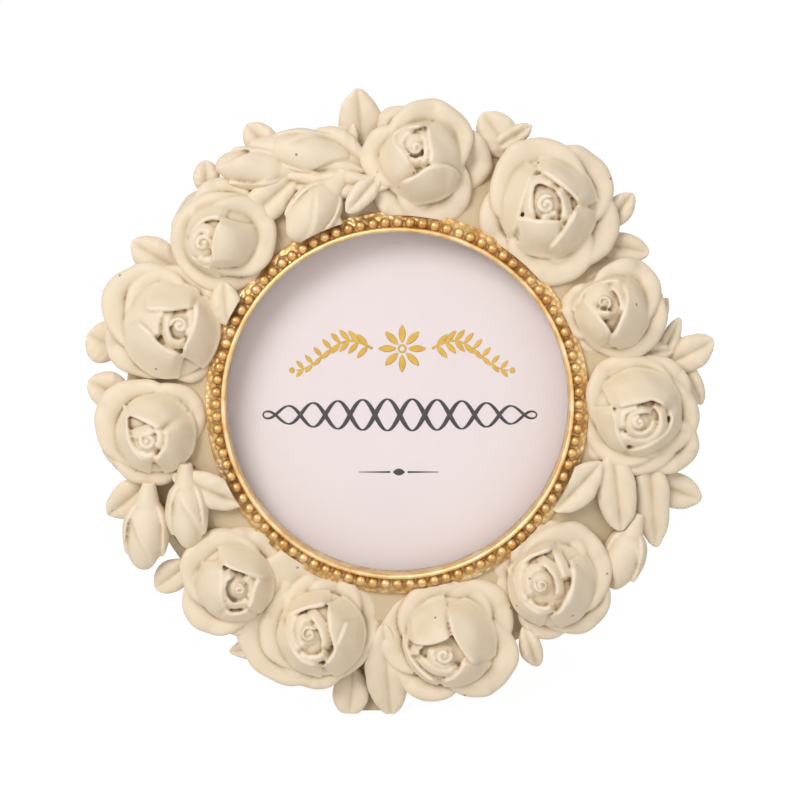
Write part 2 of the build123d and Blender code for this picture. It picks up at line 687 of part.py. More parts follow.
# Hinge, moving leaf: a plate on the strut with one knuckle between the fixed ones
with BuildPart() as hinge_moving_leaf:
    with BuildSketch(STRUT.offset(moving_plate_level)) as moving_plate:
        Rectangle(knuckle_width, knuckle_radius + knuckle_gap, align=(Align.CENTER, Align.MAX))
        with Locations((0, -knuckle_radius - knuckle_gap)):
            Rectangle(hinge_width, leaf_plate_length, align=(Align.CENTER, Align.MAX))
    extrude(amount=leaf_plate_thickness)
    with BuildSketch(Plane(origin=pin_centre, x_dir=FACE.y_dir, z_dir=FACE.x_dir)):
        Circle(knuckle_radius)
    extrude(amount=knuckle_width / 2, both=True)
    with BuildSketch(Plane(origin=pin_centre, x_dir=FACE.y_dir, z_dir=FACE.x_dir)):
        Circle(pin_radius + pin_fit)
    extrude(amount=knuckle_width / 2, both=True, mode=Mode.SUBTRACT)
    with BuildSketch(STRUT.offset(moving_plate_level)):
        with Locations((0, -rivet_inset)):
            with GridLocations(rivet_pitch, 0, 2, 1):
                Circle(rivet_shank_radius)
    extrude(amount=leaf_plate_thickness, mode=Mode.SUBTRACT)
hinge_moving_leaf.part.label = "hinge_moving_leaf"
export_step(hinge_moving_leaf.part, "parts/hinge_moving_leaf.step")


def strut_panel(level, thickness):
    """A layer of the strut: narrow at the hinge, wide at the foot, cut level where it stands."""
    half_top, half_foot = strut_top_width / 2, strut_foot_width / 2
    with BuildPart() as panel:
        with BuildSketch(STRUT.offset(level)) as panel_outline:
            with BuildLine() as panel_edge:
                Polyline(
                    (-half_top, -strut_top_gap),
                    (half_top, -strut_top_gap),
                    (half_foot, -strut_length - strut_board_thickness),
                    (-half_foot, -strut_length - strut_board_thickness),
                    close=True,
                )
            make_face()
            top_corners = panel_outline.vertices().group_by(Axis.Z)[-1]
            fillet(top_corners, strut_corner_radius)
        extrude(amount=thickness)
        split(bisect_by=Plane.XY, keep=Keep.TOP)
    return panel.part


# Strut board, with holes for its rivets
board_panel = strut_panel(strut_board_level, strut_board_thickness)
with BuildPart() as strut_board:
    add(board_panel)
    with BuildSketch(STRUT.offset(strut_board_level)):
        with Locations((0, -rivet_inset)):
            with GridLocations(rivet_pitch, 0, 2, 1):
                Circle(rivet_shank_radius)
    extrude(amount=strut_board_thickness, mode=Mode.SUBTRACT)
strut_board.part.label = "strut_board"
export_step(strut_board.part, "parts/strut_board.step")

# Velour skin on the back of the strut
strut_velour_level = strut_board_level + strut_board_thickness
velour_panel = strut_panel(strut_velour_level, velour_thickness)
with BuildPart() as strut_velour:
    add(velour_panel)
    with BuildSketch(STRUT.offset(strut_velour_level)):
        with Locations((0, -rivet_inset)):
            with GridLocations(rivet_pitch, 0, 2, 1):
                Circle(rivet_shank_radius)
    extrude(amount=velour_thickness, mode=Mode.SUBTRACT)
strut_velour.part.label = "strut_velour"
export_step(strut_velour.part, "parts/strut_velour.step")

# Rivets that hold the fixed leaf to the board
with BuildPart() as board_rivets:
    with BuildSketch(FACE.offset(-leaf_plate_thickness)):
        with Locations((0, pin_height + rivet_inset)):
            with GridLocations(rivet_pitch, 0, 2, 1):
                Circle(rivet_shank_radius)
    extrude(amount=leaf_plate_thickness + board_rivet_depth)
    with BuildSketch(FACE.offset(-leaf_plate_thickness)):
        with Locations((0, pin_height + rivet_inset)):
            with GridLocations(rivet_pitch, 0, 2, 1):
                Circle(rivet_head_radius)
    extrude(amount=-rivet_head_height)
    chamfer(board_rivets.faces().group_by(FACE_AXIS)[0].edges(), rivet_head_height / 2)
board_rivets.part.label = "board_rivets"
export_step(board_rivets.part, "parts/board_rivets.step")

# Rivets through the moving leaf and the strut, flush with the leaf and headed on the velour
strut_outer_level = strut_velour_level + velour_thickness
with BuildPart() as strut_rivets:
    with BuildSketch(STRUT.offset(moving_plate_level)):
        with Locations((0, -rivet_inset)):
            with GridLocations(rivet_pitch, 0, 2, 1):
                Circle(rivet_shank_radius)
    extrude(amount=strut_outer_level - moving_plate_level)
    with BuildSketch(STRUT.offset(strut_outer_level)):
        with Locations((0, -rivet_inset)):
            with GridLocations(rivet_pitch, 0, 2, 1):
                Circle(rivet_head_radius)
    extrude(amount=rivet_head_height)
    chamfer(
        strut_rivets.faces().group_by(Axis(STRUT.origin, STRUT.z_dir))[-1].edges(),
        rivet_head_height / 2,
    )
strut_rivets.part.label = "strut_rivets"
export_step(strut_rivets.part, "parts/strut_rivets.step")


def button_plane(index, level):
    """The plane of one turn button at a level, with its first axis pointing out from the centre."""
    turn = radians(180 / button_count + index * 360 / button_count)
    radius = button_circle_diameter / 2
    outward = FACE.x_dir * cos(turn) + FACE.y_dir * sin(turn)
    origin = face_point(radius * cos(turn), radius * sin(turn), level)
    return Plane(origin=origin, x_dir=outward, z_dir=FACE.z_dir)


# Turn buttons that clamp the back board, each free to turn on its screw
for index in range(button_count):
    with BuildPart() as turn_button:
        with BuildSketch(button_plane(index, -button_gap)) as button_outline:
            with Locations((-(button_long_end - button_short_end) / 2, 0)):
                SlotOverall(button_long_end + button_short_end, button_width)
            Circle(screw_shank_radius + button_hole_clearance, mode=Mode.SUBTRACT)
        extrude(amount=-button_thickness)
    turn_button.part.label = f"turn_button_{index + 1}"
    export_step(turn_button.part, f"parts/turn_button_{index + 1}.step")

# Cross-slotted pan-head screws of the turn buttons
head_level = -2 * button_gap - button_thickness
with BuildPart() as turn_button_screws:
    for index in range(button_count):
        with BuildSketch(button_plane(index, head_level)):
            Circle(screw_shank_radius)
        extrude(amount=screw_depth - head_level)
        with BuildSketch(button_plane(index, head_level)):
            Circle(screw_head_radius)
        extrude(amount=-screw_head_height)
    chamfer(
        turn_button_screws.faces().group_by(FACE_AXIS)[0].edges(), screw_head_height / 3
    )
    for index in range(button_count):
        with BuildSketch(button_plane(index, head_level - screw_head_height)):
            slot_length = 2 * screw_head_radius * slot_length_share
            Rectangle(slot_length, screw_slot_width)
            Rectangle(screw_slot_width, slot_length)
        extrude(amount=screw_slot_depth, mode=Mode.SUBTRACT)
turn_button_screws.part.label = "turn_button_screws"
export_step(turn_button_screws.part, "parts/turn_button_screws.step")
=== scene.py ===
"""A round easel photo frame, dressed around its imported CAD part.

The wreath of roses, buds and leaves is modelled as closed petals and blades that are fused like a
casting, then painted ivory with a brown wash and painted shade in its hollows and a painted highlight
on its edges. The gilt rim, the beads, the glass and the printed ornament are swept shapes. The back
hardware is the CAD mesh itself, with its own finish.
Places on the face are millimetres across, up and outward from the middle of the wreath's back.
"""

import logging
import math
from collections.abc import Iterable, Iterator
from dataclasses import dataclass, field
from enum import Enum
from functools import cached_property

import bpy
import numpy as np
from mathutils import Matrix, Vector
from numpy.typing import ArrayLike

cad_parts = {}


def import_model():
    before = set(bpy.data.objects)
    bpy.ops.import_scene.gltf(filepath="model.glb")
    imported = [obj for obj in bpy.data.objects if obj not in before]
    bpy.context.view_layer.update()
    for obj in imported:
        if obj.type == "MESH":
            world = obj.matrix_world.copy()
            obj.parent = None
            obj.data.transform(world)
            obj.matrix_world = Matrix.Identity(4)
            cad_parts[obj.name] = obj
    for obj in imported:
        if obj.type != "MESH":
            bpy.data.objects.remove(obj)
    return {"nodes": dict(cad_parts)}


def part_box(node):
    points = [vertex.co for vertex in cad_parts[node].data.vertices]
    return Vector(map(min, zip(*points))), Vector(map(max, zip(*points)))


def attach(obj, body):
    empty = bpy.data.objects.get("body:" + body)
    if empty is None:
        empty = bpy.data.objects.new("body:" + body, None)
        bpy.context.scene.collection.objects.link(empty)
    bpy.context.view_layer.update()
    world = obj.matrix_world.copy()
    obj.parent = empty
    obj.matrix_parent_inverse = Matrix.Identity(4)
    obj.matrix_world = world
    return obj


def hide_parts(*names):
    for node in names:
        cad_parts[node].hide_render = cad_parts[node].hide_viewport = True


LOG = logging.getLogger("photo_frame")
MM = 0.001
SEED = 7
FULL_TURN = 2 * math.pi
UPRIGHT = np.array([0.0, 0.0, 1.0])
WHITE = (1.0, 1.0, 1.0, 1.0)

# The CAD body that new pieces ride on
FRAME_BODY = "frame_body"

# The face leans back by this many degrees
LEAN = 14.0

# How far the insert's face and the glass's middle lie outward from the back of the wreath
INSERT_TOP = 4.5
GLASS_MIDDLE = 5.5

# The tables of flowers and leaves hold shares of these
ORBIT = 50.0
DEPTH = 20.0
BLOOM = 12.0
BLOOM_SEAT = 5.0
BLOOM_HEIGHT = 17.0
BLADE = 10.0

Colour = tuple[float, float, float, float]
Place = tuple[float, float, float]
Socket = bpy.types.NodeSocket
Feed = Socket | float | Colour


class Slot(Enum):
    """The material slots."""

    RESIN = "cast_resin"
    GILDING = "gilding"
    GLASS = "glass"
    CARD = "printed_card"
    BACKING = "grey_card"
    BOARD = "pressed_board"
    VELOUR = "velour"
    STEEL = "plated_steel"


@dataclass(frozen=True)
class FaceFrame:
    """The leaning frame of the wreath: across, up and outward from the middle of its back."""

    origin: np.ndarray
    across: np.ndarray
    up: np.ndarray
    outward: np.ndarray

    @classmethod
    def from_glass(cls) -> "FaceFrame":
        """Finds the frame from the CAD glass.

        Returns:
            The leaning frame, in metres.
        """
        low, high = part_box("glass")
        lean = math.radians(LEAN)
        outward = np.array([0.0, -math.cos(lean), math.sin(lean)])
        up = np.array([0.0, math.sin(lean), math.cos(lean)])
        middle = (np.array(low) + np.array(high)) / 2
        return cls(middle - outward * GLASS_MIDDLE * MM, np.array([1.0, 0.0, 0.0]), up, outward)

    @classmethod
    def level(cls) -> "FaceFrame":
        """Gives the room's own frame, whose outward is upward."""
        return cls(np.zeros(3), *np.eye(3))

    def world(self, points: ArrayLike) -> np.ndarray:
        """Turns places on the face into the room's frame.

        Args:
            points: Places across, up and outward in millimetres, in the last axis.

        Returns:
            The same places in metres.
        """
        scaled = np.asarray(points, float) * MM
        return (
            self.origin
            + scaled[..., 0:1] * self.across
            + scaled[..., 1:2] * self.up
            + scaled[..., 2:3] * self.outward
        )

    def local(self, points: np.ndarray) -> np.ndarray:
        """Turns places in the room's frame into places on the face.

        Args:
            points: Places in metres, in the last axis.

        Returns:
            Places across, up and outward in millimetres.
        """
        moved = (np.asarray(points, float) - self.origin) / MM
        return np.stack([moved @ self.across, moved @ self.up, moved @ self.outward], -1)


def unit(vector: np.ndarray) -> np.ndarray:
    """Scales vectors to length one along the last axis."""
    return vector / np.maximum(np.linalg.norm(vector, axis=-1, keepdims=True), 1e-9)


def smoothstep(low: float, high: float, value: np.ndarray) -> np.ndarray:
    """Rises smoothly from 0 at low to 1 at high.

    Args:
        low: Where the rise starts.
        high: Where it ends.
        value: The values.

    Returns:
        The shares from 0 to 1.
    """
    share = np.clip((value - low) / (high - low), 0, 1)
    return share * share * (3 - 2 * share)


def circle(columns: int) -> np.ndarray:
    """Gives evenly spaced angles round a full turn."""
    return np.linspace(0, FULL_TURN, columns, endpoint=False)


def heading(angle: float) -> np.ndarray:
    """Gives the unit vector across and up at an angle in radians."""
    return np.array([math.cos(angle), math.sin(angle)])


def turned(profile: ArrayLike, columns: int, centre: ArrayLike = (0.0, 0.0)) -> np.ndarray:
    """Turns a profile round an outward axis.

    A point is the centre plus the radius times (cos t, sin t), at the profile's height.

    Args:
        profile: Radii and heights, rows by 2.
        columns: Points round the axis.
        centre: The axis's place across and up.

    Returns:
        Rows by columns by 3.
    """
    radius, height = np.hsplit(np.asarray(profile, float), 2)
    turn = circle(columns)
    across, up = centre[0] + radius * np.cos(turn), centre[1] + radius * np.sin(turn)
    return np.stack([across, up, np.repeat(height, columns, 1)], -1)


def srgb(red: float, green: float, blue: float) -> Colour:
    """Turns a screen colour from 0 to 255 into a linear one.

    Args:
        red: Red.
        green: Green.
        blue: Blue.

    Returns:
        The linear colour with alpha 1.
    """
    share = np.array([red, green, blue]) / 255
    linear = np.where(share <= 0.04045, share / 12.92, ((share + 0.055) / 1.055) ** 2.4)
    return (*linear.tolist(), 1.0)


def sweep(path: np.ndarray, side: np.ndarray, lift: np.ndarray, half: np.ndarray | float,
          thick: np.ndarray | float, columns: int, power: float = 1.0) -> np.ndarray:
    """Sweeps a rounded flat section along a path.

    A loop point is path + side * half * cos(t) + lift * thick * sin(t), with both waves raised to a
    power below one where the section has to be boxier.

    Args:
        path: Places along the sweep, rows by 3.
        side: The unit vector across the section, or one for each row.
        lift: The unit vector through the section, or one for each row.
        half: The half width, or one for each row.
        thick: The half thickness, or one for each row.
        columns: Points round the section.
        power: Exponent of the section's waves.

    Returns:
        Rows by columns by 3.
    """
    turn = circle(columns)
    wide, deep = (np.sign(wave) * np.abs(wave) ** power for wave in (np.cos(turn), np.sin(turn)))
    return (
        path[:, None]
        + np.atleast_2d(side)[:, None] * (np.atleast_1d(half)[:, None] * wide)[..., None]
        + np.atleast_2d(lift)[:, None] * (np.atleast_1d(thick)[:, None] * deep)[..., None]
    )


@dataclass
class Shell:
    """A bag of closed surfaces that become one mesh."""

    points: list[np.ndarray] = field(default_factory=list)
    quads: list[np.ndarray] = field(default_factory=list)
    triangles: list[np.ndarray] = field(default_factory=list)
    count: int = 0

    def loops(self, grid: np.ndarray, start: ArrayLike, end: ArrayLike) -> None:
        """Adds a closed surface of loops between two poles.

        Each row of the grid is one closed loop. Neighbouring rows are joined by quads, and the first
        and last rows are closed by fans to the poles.

        Args:
            grid: Rows by columns by 3, in millimetres on the face.
            start: The pole before the first row.
            end: The pole after the last row.
        """
        rows, columns = grid.shape[:2]
        index = self.count + np.arange(rows * columns).reshape(rows, columns)
        after = np.roll(index, -1, axis=1)
        first, last = self.count + rows * columns, self.count + rows * columns + 1
        self.points += [grid.reshape(-1, 3), np.asarray(start, float)[None], np.asarray(end, float)[None]]
        self.quads.append(np.stack([index[:-1], after[:-1], after[1:], index[1:]], -1).reshape(-1, 4))
        self.triangles += [
            np.stack([np.full(columns, first), after[0], index[0]], -1),
            np.stack([np.full(columns, last), index[-1], after[-1]], -1),
        ]
        self.count += rows * columns + 2

    def hoop(self, grid: np.ndarray) -> None:
        """Adds a closed surface that wraps both ways, such as a ring.

        Args:
            grid: Rows by columns by 3, in millimetres on the face.
        """
        rows, columns = grid.shape[:2]
        index = self.count + np.arange(rows * columns).reshape(rows, columns)
        after, below = np.roll(index, -1, axis=1), np.roll(index, -1, axis=0)
        corner = np.roll(below, -1, axis=1)
        self.points.append(grid.reshape(-1, 3))
        self.quads.append(np.stack([index, after, corner, below], -1).reshape(-1, 4))
        self.count += rows * columns

    def rod(self, path: np.ndarray, side: np.ndarray, lift: np.ndarray, half: np.ndarray | float,
            thick: np.ndarray | float, columns: int, power: float = 1.0) -> None:
        """Adds a section swept along a path and closed at its ends. It takes what sweep takes."""
        self.loops(sweep(path, side, lift, half, thick, columns, power), path[0], path[-1])

    def object(self, name: str, face: FaceFrame) -> bpy.types.Object:
        """Makes the mesh object.

        Args:
            name: The piece's name.
            face: The frame that the points are in.

        Returns:
            The linked object, at the origin, with smooth shading and outward normals.
        """
        mesh = bpy.data.meshes.new(name)
        faces = [corners for group in self.quads + self.triangles for corners in group.tolist()]
        mesh.from_pydata(face.world(np.concatenate(self.points)), [], faces)
        mesh.polygons.foreach_set("use_smooth", np.ones(len(mesh.polygons), bool))
        mesh.update()
        made = bpy.data.objects.new(name, mesh)
        bpy.context.scene.collection.objects.link(made)
        return made


@dataclass(frozen=True)
class Guard:
    """One open outer petal: direction in degrees, then shares of the bloom radius and height.

    The other sizes are the same in all petals: millimetres, and shares of the petal's radius.
    """

    direction: float
    reach: float
    radius: float
    rise: float

    CREST_DROP = 1.3
    EDGE_ROLL = 1.5
    ROLL_DROP = 1.2
    DISH = 0.8
    INNERMOST = 0.08
    # Share of the radius and drop from the crest, down the side under the rolled edge
    UNDERSIDE = ((0.92, -2.7), (0.84, -3.3), (0.78, -4.2))
    # Share of the radius and height, in under the foot
    FOOT = ((0.72, 1.2), (0.45, 0.9), (0.15, 0.8))
    # Waves round the edge: shares of the radius, then heights
    LOBES = (0.020, 0.012)
    RIPPLES = (0.45, 0.22)
    TILT = 0.7
    FOLD_DEPTH = 0.5
    FOLD_ANGLE = 0.16

    def add_to(self, shell: Shell, centre: np.ndarray, rng: np.random.Generator) -> None:
        """Adds the petal: a softly dished round top whose edge rolls over a narrower foot.

        The section is a closed line of shares of the radius and heights from the crest. It turns
        round the middle, and its outline and crest wave a little.

        Args:
            shell: The rose's surfaces.
            centre: The rose's centre across and up.
            rng: The source of the small differences between petals.
        """
        turn = math.radians(self.direction)
        away = np.array([*heading(turn), 0.0])
        side = np.array([-away[1], away[0], 0.0])
        middle = np.array([*centre, 0.0]) + away * BLOOM * (self.reach - self.radius)
        radius = BLOOM * self.radius
        crest = BLOOM_SEAT + BLOOM_HEIGHT * self.rise - self.CREST_DROP
        share, drop = self._section(radius, crest)
        around = circle(72)
        phase = rng.uniform(0, FULL_TURN, 5)
        (wide, fine), (slow, quick) = self.LOBES, self.RIPPLES
        outline = 1 + wide * np.sin(3 * around + phase[0]) + fine * np.sin(5 * around + phase[1])
        wave = slow * np.sin(2 * around + phase[2]) + quick * np.sin(5 * around + phase[3])
        wave = wave - self.TILT * np.cos(around)
        off_fold = np.angle(np.exp(1j * (around - 0.5 * np.sin(phase[4]))))
        fold = -self.FOLD_DEPTH * np.exp(-((off_fold / self.FOLD_ANGLE) ** 2))
        reach = radius * share * outline
        high = share * smoothstep(-5.0, -1.0, drop)
        level = crest + drop + high * (wave + fold * smoothstep(0.5, 1.0, share))
        points = (
            middle
            + away * (reach * np.cos(around))[..., None]
            + side * (reach * np.sin(around))[..., None]
            + UPRIGHT * level[..., None]
        )
        foot = self.FOOT[-1][1]
        shell.loops(points[:, ::-1], middle + [0, 0, crest - self.DISH], middle + [0, 0, foot])

    def _section(self, radius: float, crest: float) -> tuple[np.ndarray, np.ndarray]:
        """Gives the petal's section from its dished middle over the rolled edge to its foot.

        Args:
            radius: The petal's radius.
            crest: The height of its crest.

        Returns:
            Shares of the radius and drops from the crest, each rows by 1.
        """
        roll = self.EDGE_ROLL / radius
        bend = np.linspace(0.45 * math.pi, -0.42 * math.pi, 10)
        rise = smoothstep(0.40, 0.95, np.linspace(self.INNERMOST, 1, 12))
        under, foot = np.array(self.UNDERSIDE), np.array(self.FOOT)
        inner = np.linspace(self.INNERMOST, 1 - 1.25 * roll, 12)
        share = np.concatenate([inner, 1 - roll + roll * np.cos(bend), under[:, 0], foot[:, 0]])
        dish, edge = self.DISH * rise - self.DISH, self.ROLL_DROP * np.sin(bend) - self.ROLL_DROP
        drop = np.concatenate([dish, edge, under[:, 1], foot[:, 1] - crest])
        return share[:, None], drop[:, None]


@dataclass(frozen=True)
class Cup:
    """The round body of a rose's inner petals: its middle, its radius and its rolled heart's place.

    The other sizes are alike in all roses, and millimetres where no comment says otherwise.
    """

    middle: np.ndarray
    radius: float
    heart: np.ndarray

    EDGE = 12.4
    APEX = 17.9
    FOOT = 5.0
    FOOT_STEP = 0.5
    FLOOR_DROP = 0.3
    FLOOR_DISH = 0.9
    LIP_HALF = 0.48
    WALL_DEPTH = 2.6
    SHORTEST_RUN = 0.9
    # How far a lip stands up: alike in all, and more for its lift
    STAND = (0.4, 1.2)
    END_DROP = 0.9
    RIPPLE = 0.16
    # Places along a lip, and the rounds that even them and their directions out
    LIP_STEPS = 44
    EVEN_ROUNDS = 5
    TURN_ROUNDS = 4
    # Shares: of the lip's length that its ends fade over, and of its thickness that they keep
    FADE = 0.16
    BLUNT = 0.06
    # Shares of the half thickness that the wall stands back by, at its foot and higher up
    WALL = (1.3, 0.9)
    # How strongly the faces splay away from the heart, grow with the lift, and fall where they are short
    SPLAY = 0.3
    GROWTH = 0.035
    INNER_FALL = 0.85

    def dome(self, places: np.ndarray) -> np.ndarray:
        """Gives the height of the dome that the petals' outer faces follow.

        It falls from the apex to the edge with the distance from the middle, to a power.

        Args:
            places: Places across and up, in the last axis.

        Returns:
            The heights.
        """
        share = np.clip(np.linalg.norm(places - self.middle, axis=-1) / self.radius, 0, 1)
        return self.EDGE + (self.APEX - self.EDGE) * (1 - share**2.3)

    def add_floor(self, shell: Shell) -> None:
        """Adds the solid under the petals: the dome, a little lower.

        Args:
            shell: The rose's surfaces.
        """
        share = np.array([*np.linspace(0.1, 0.97, 14), 0.97, 0.9])[:, None]
        grid = turned(np.concatenate([self.radius * share, share], 1), 64, self.middle)
        grid[..., 2] = self.dome(grid[..., :2]) - self.FLOOR_DISH * (1 - share**4) - self.FLOOR_DROP
        bottom = self.FOOT - self.FOOT_STEP
        grid[-2:, :, 2] = [[self.FOOT], [bottom]]
        top = self.APEX - self.FLOOR_DROP - self.FLOOR_DISH
        shell.loops(grid[:, ::-1], [*self.middle, top], [*self.middle, bottom])

    def _lip(self, line: np.ndarray) -> tuple[np.ndarray, np.ndarray]:
        """Evens out a lip's places and finds the direction away from the heart at each.

        Args:
            line: The lip's places across and up, anticlockwise round the heart.

        Returns:
            The even places, and unit vectors to the right of the lip's travel.
        """
        chord = np.concatenate([[0], np.cumsum(np.linalg.norm(np.diff(line, axis=0), axis=1))])
        share = np.linspace(0, 1, self.LIP_STEPS)
        lip = np.stack([np.interp(share * chord[-1], chord, line[:, axis]) for axis in (0, 1)], -1)
        for _ in range(self.EVEN_ROUNDS):
            lip[1:-1] = 0.25 * lip[:-2] + 0.5 * lip[1:-1] + 0.25 * lip[2:]
        travel = unit(np.gradient(lip, axis=0))
        out = np.stack([travel[:, 1], -travel[:, 0]], -1)
        for _ in range(self.TURN_ROUNDS):
            out[1:-1] = unit(out[:-2] + out[1:-1] + out[2:])
        return lip, out

    def add_petal(self, shell: Shell, lift: float, run: float, line: np.ndarray,
                  rng: np.random.Generator) -> None:
        """Adds a petal behind its lip.

        The lip stands above the dome by its lift. On the heart's side a wall drops from it. On the
        other side the face follows the dome to the cup's edge, or, for an inner petal, slopes down
        over its short run.

        Args:
            shell: The rose's surfaces.
            lift: How far the lip stands above the dome.
            run: How far the face reaches, or 0 where it reaches the cup's edge.
            line: The lip's places across and up, anticlockwise round the heart.
            rng: The source of the small differences between petals.
        """
        lip, out = self._lip(line)
        if run:
            reach = np.full(self.LIP_STEPS, run)
        else:
            out = unit(out + self.SPLAY * unit(lip - self.heart))
            offset = lip - self.middle
            along = (offset * out).sum(-1)
            rim = self.radius * (1 + self.GROWTH * lift)
            reach = -along + np.sqrt(np.maximum(along**2 - (offset**2).sum(-1) + rim**2, 0))
            reach = np.maximum(reach, self.SHORTEST_RUN)
        share = np.linspace(0, 1, self.LIP_STEPS)
        ends = smoothstep(0, self.FADE, share) * smoothstep(0, self.FADE, 1 - share)
        stand = self.STAND[0] + self.STAND[1] * lift - (self.END_DROP + self.END_DROP * lift) * (1 - ends)
        stand = stand + self.RIPPLE * np.sin(7 * share + rng.uniform(0, 6))
        half = (self.LIP_HALF * np.sqrt(self.BLUNT + (1 - self.BLUNT) * ends))[:, None]
        top, reach = (self.dome(lip) + stand)[:, None], reach[:, None]
        bend = np.linspace(math.pi, 0.25 * math.pi, 7)
        slide = np.linspace(0.08, 1, 9)
        arc_u, arc_z = half * np.cos(bend), (top - half) + half * np.sin(bend)
        face_u = arc_u[:, -1:] + (reach - arc_u[:, -1:]) * slide
        if run:
            face_z = arc_z[:, -1:] - self.INNER_FALL * run * slide**1.25
        else:
            spots = lip[:, None] + out[:, None] * face_u[..., None]
            face_z = np.minimum(self.dome(spots) + stand[:, None] * (1 - slide) ** 1.1, arc_z[:, -1:])
        low = np.full_like(top, self.FOOT)
        foot_wall, high_wall = (-half * share for share in self.WALL)
        u = np.concatenate([foot_wall, high_wall, arc_u, face_u, reach, 0.5 * reach], 1)
        z = np.concatenate([low, top - self.WALL_DEPTH, arc_z, face_z, low + 0.2, low], 1)
        places = lip[:, None] + out[:, None] * u[..., None]
        points = np.concatenate([places, z[..., None]], -1)
        shell.loops(points, points[0].mean(0), points[-1].mean(0))


@dataclass(frozen=True)
class Curl:
    """The rolled heart of a rose: place in shares, radius, turns, start and sense.

    Its other sizes are millimetres, but for the share of its radius that the spiral loses.
    """

    across: float
    up: float
    radius: float
    turns: float
    start: float
    sense: int = 1

    STAND = 1.0
    DEPTH = 4.0
    SINK = 0.4
    WAVE = 0.2
    SHRINK = 0.84
    # The wall's half thickness, and the most of it that a turn leaves room for, as a share
    HALF = 0.55
    ROOM = 0.36
    # The plug's foot and side beyond the spiral's radius, and the side's heights from the crown
    PLUG_FOOT = 1.6
    PLUG_SIDE = ((1.3, -1.5), (0.4, -0.6))
    # The plug's top as a share of the spiral's radius, and its heights above the crown
    PLUG_TOP = 0.4
    PLUG_RISE = (0.2, 0.25)

    def add_to(self, shell: Shell, cup: Cup) -> None:
        """Adds a spiral wall and the plug under it.

        The wall's radius shrinks evenly along its turns, and its top sinks a little inward.

        Args:
            shell: The rose's surfaces.
            cup: The cup that the heart sits in.
        """
        crown = float(cup.dome(cup.heart))
        low = crown - self.DEPTH
        share = np.linspace(0, 1, int(50 * self.turns))
        turn = math.radians(self.start) + self.sense * FULL_TURN * self.turns * share
        radius = self.radius * (1 - self.SHRINK * share)
        top = crown + self.STAND - self.SINK * share + self.WAVE * np.sin(2 * turn)
        side = np.stack([np.cos(turn), np.sin(turn), np.zeros_like(turn)], -1)
        path = np.array([*cup.heart, 0.0]) + radius[:, None] * side
        path[:, 2] = (top + low) / 2
        half = min(self.HALF, self.ROOM * self.radius / self.turns)
        half = half * (0.4 + 0.6 * smoothstep(0, 0.08, share))
        shell.rod(path, side, UPRIGHT, half, (top - low) / 2, 20, 0.7)
        rise, tip = self.PLUG_RISE
        plug = [
            [self.radius + self.PLUG_FOOT, low],
            *([self.radius + reach, crown + height] for reach, height in self.PLUG_SIDE),
            [self.radius * self.PLUG_TOP, crown + rise],
        ]
        shell.loops(turned(plug, 32, cup.heart), [*cup.heart, low - 0.5], [*cup.heart, crown + tip])


@dataclass(frozen=True)
class Rose:
    """A cast rose: its place by direction and share of the orbit, and its petals.

    The guards are rows for Guard. The cup is given by its middle and radius, and each of its petals
    by its lift and run in millimetres and the places of its lip. Places are shares of the bloom
    radius from the centre.
    """

    name: str
    direction: float
    distance: float
    guards: tuple[tuple[float, float, float, float], ...]
    cup: tuple[float, float, float]
    petals: tuple[tuple, ...]
    curl: Curl

    # Radius and height of the solid under the cup, in millimetres
    CORE = ((11.0, 1.2), (11.4, 2.0), (10.6, 7.4), (9.6, 8.6), (7.5, 9.4))
    CORE_BOTTOM = 1.0
    CORE_TOP = 9.6

    def shell(self, rng: np.random.Generator) -> Shell:
        """Builds the rose's closed surfaces.

        Args:
            rng: The source of the small differences between petals.

        Returns:
            The surfaces, still apart.
        """
        made = Shell()
        centre = ORBIT * self.distance * heading(math.radians(self.direction))
        for row in self.guards:
            Guard(*row).add_to(made, centre, rng)
        made.loops(turned(self.CORE, 64, centre), [*centre, self.CORE_BOTTOM], [*centre, self.CORE_TOP])
        heart = centre + BLOOM * np.array([self.curl.across, self.curl.up])
        cup = Cup(centre + BLOOM * np.array(self.cup[:2]), BLOOM * self.cup[2], heart)
        cup.add_floor(made)
        for lift, run, *line in self.petals:
            cup.add_petal(made, lift, run, centre + BLOOM * np.array(line), rng)
        self.curl.add_to(made, cup)
        return made


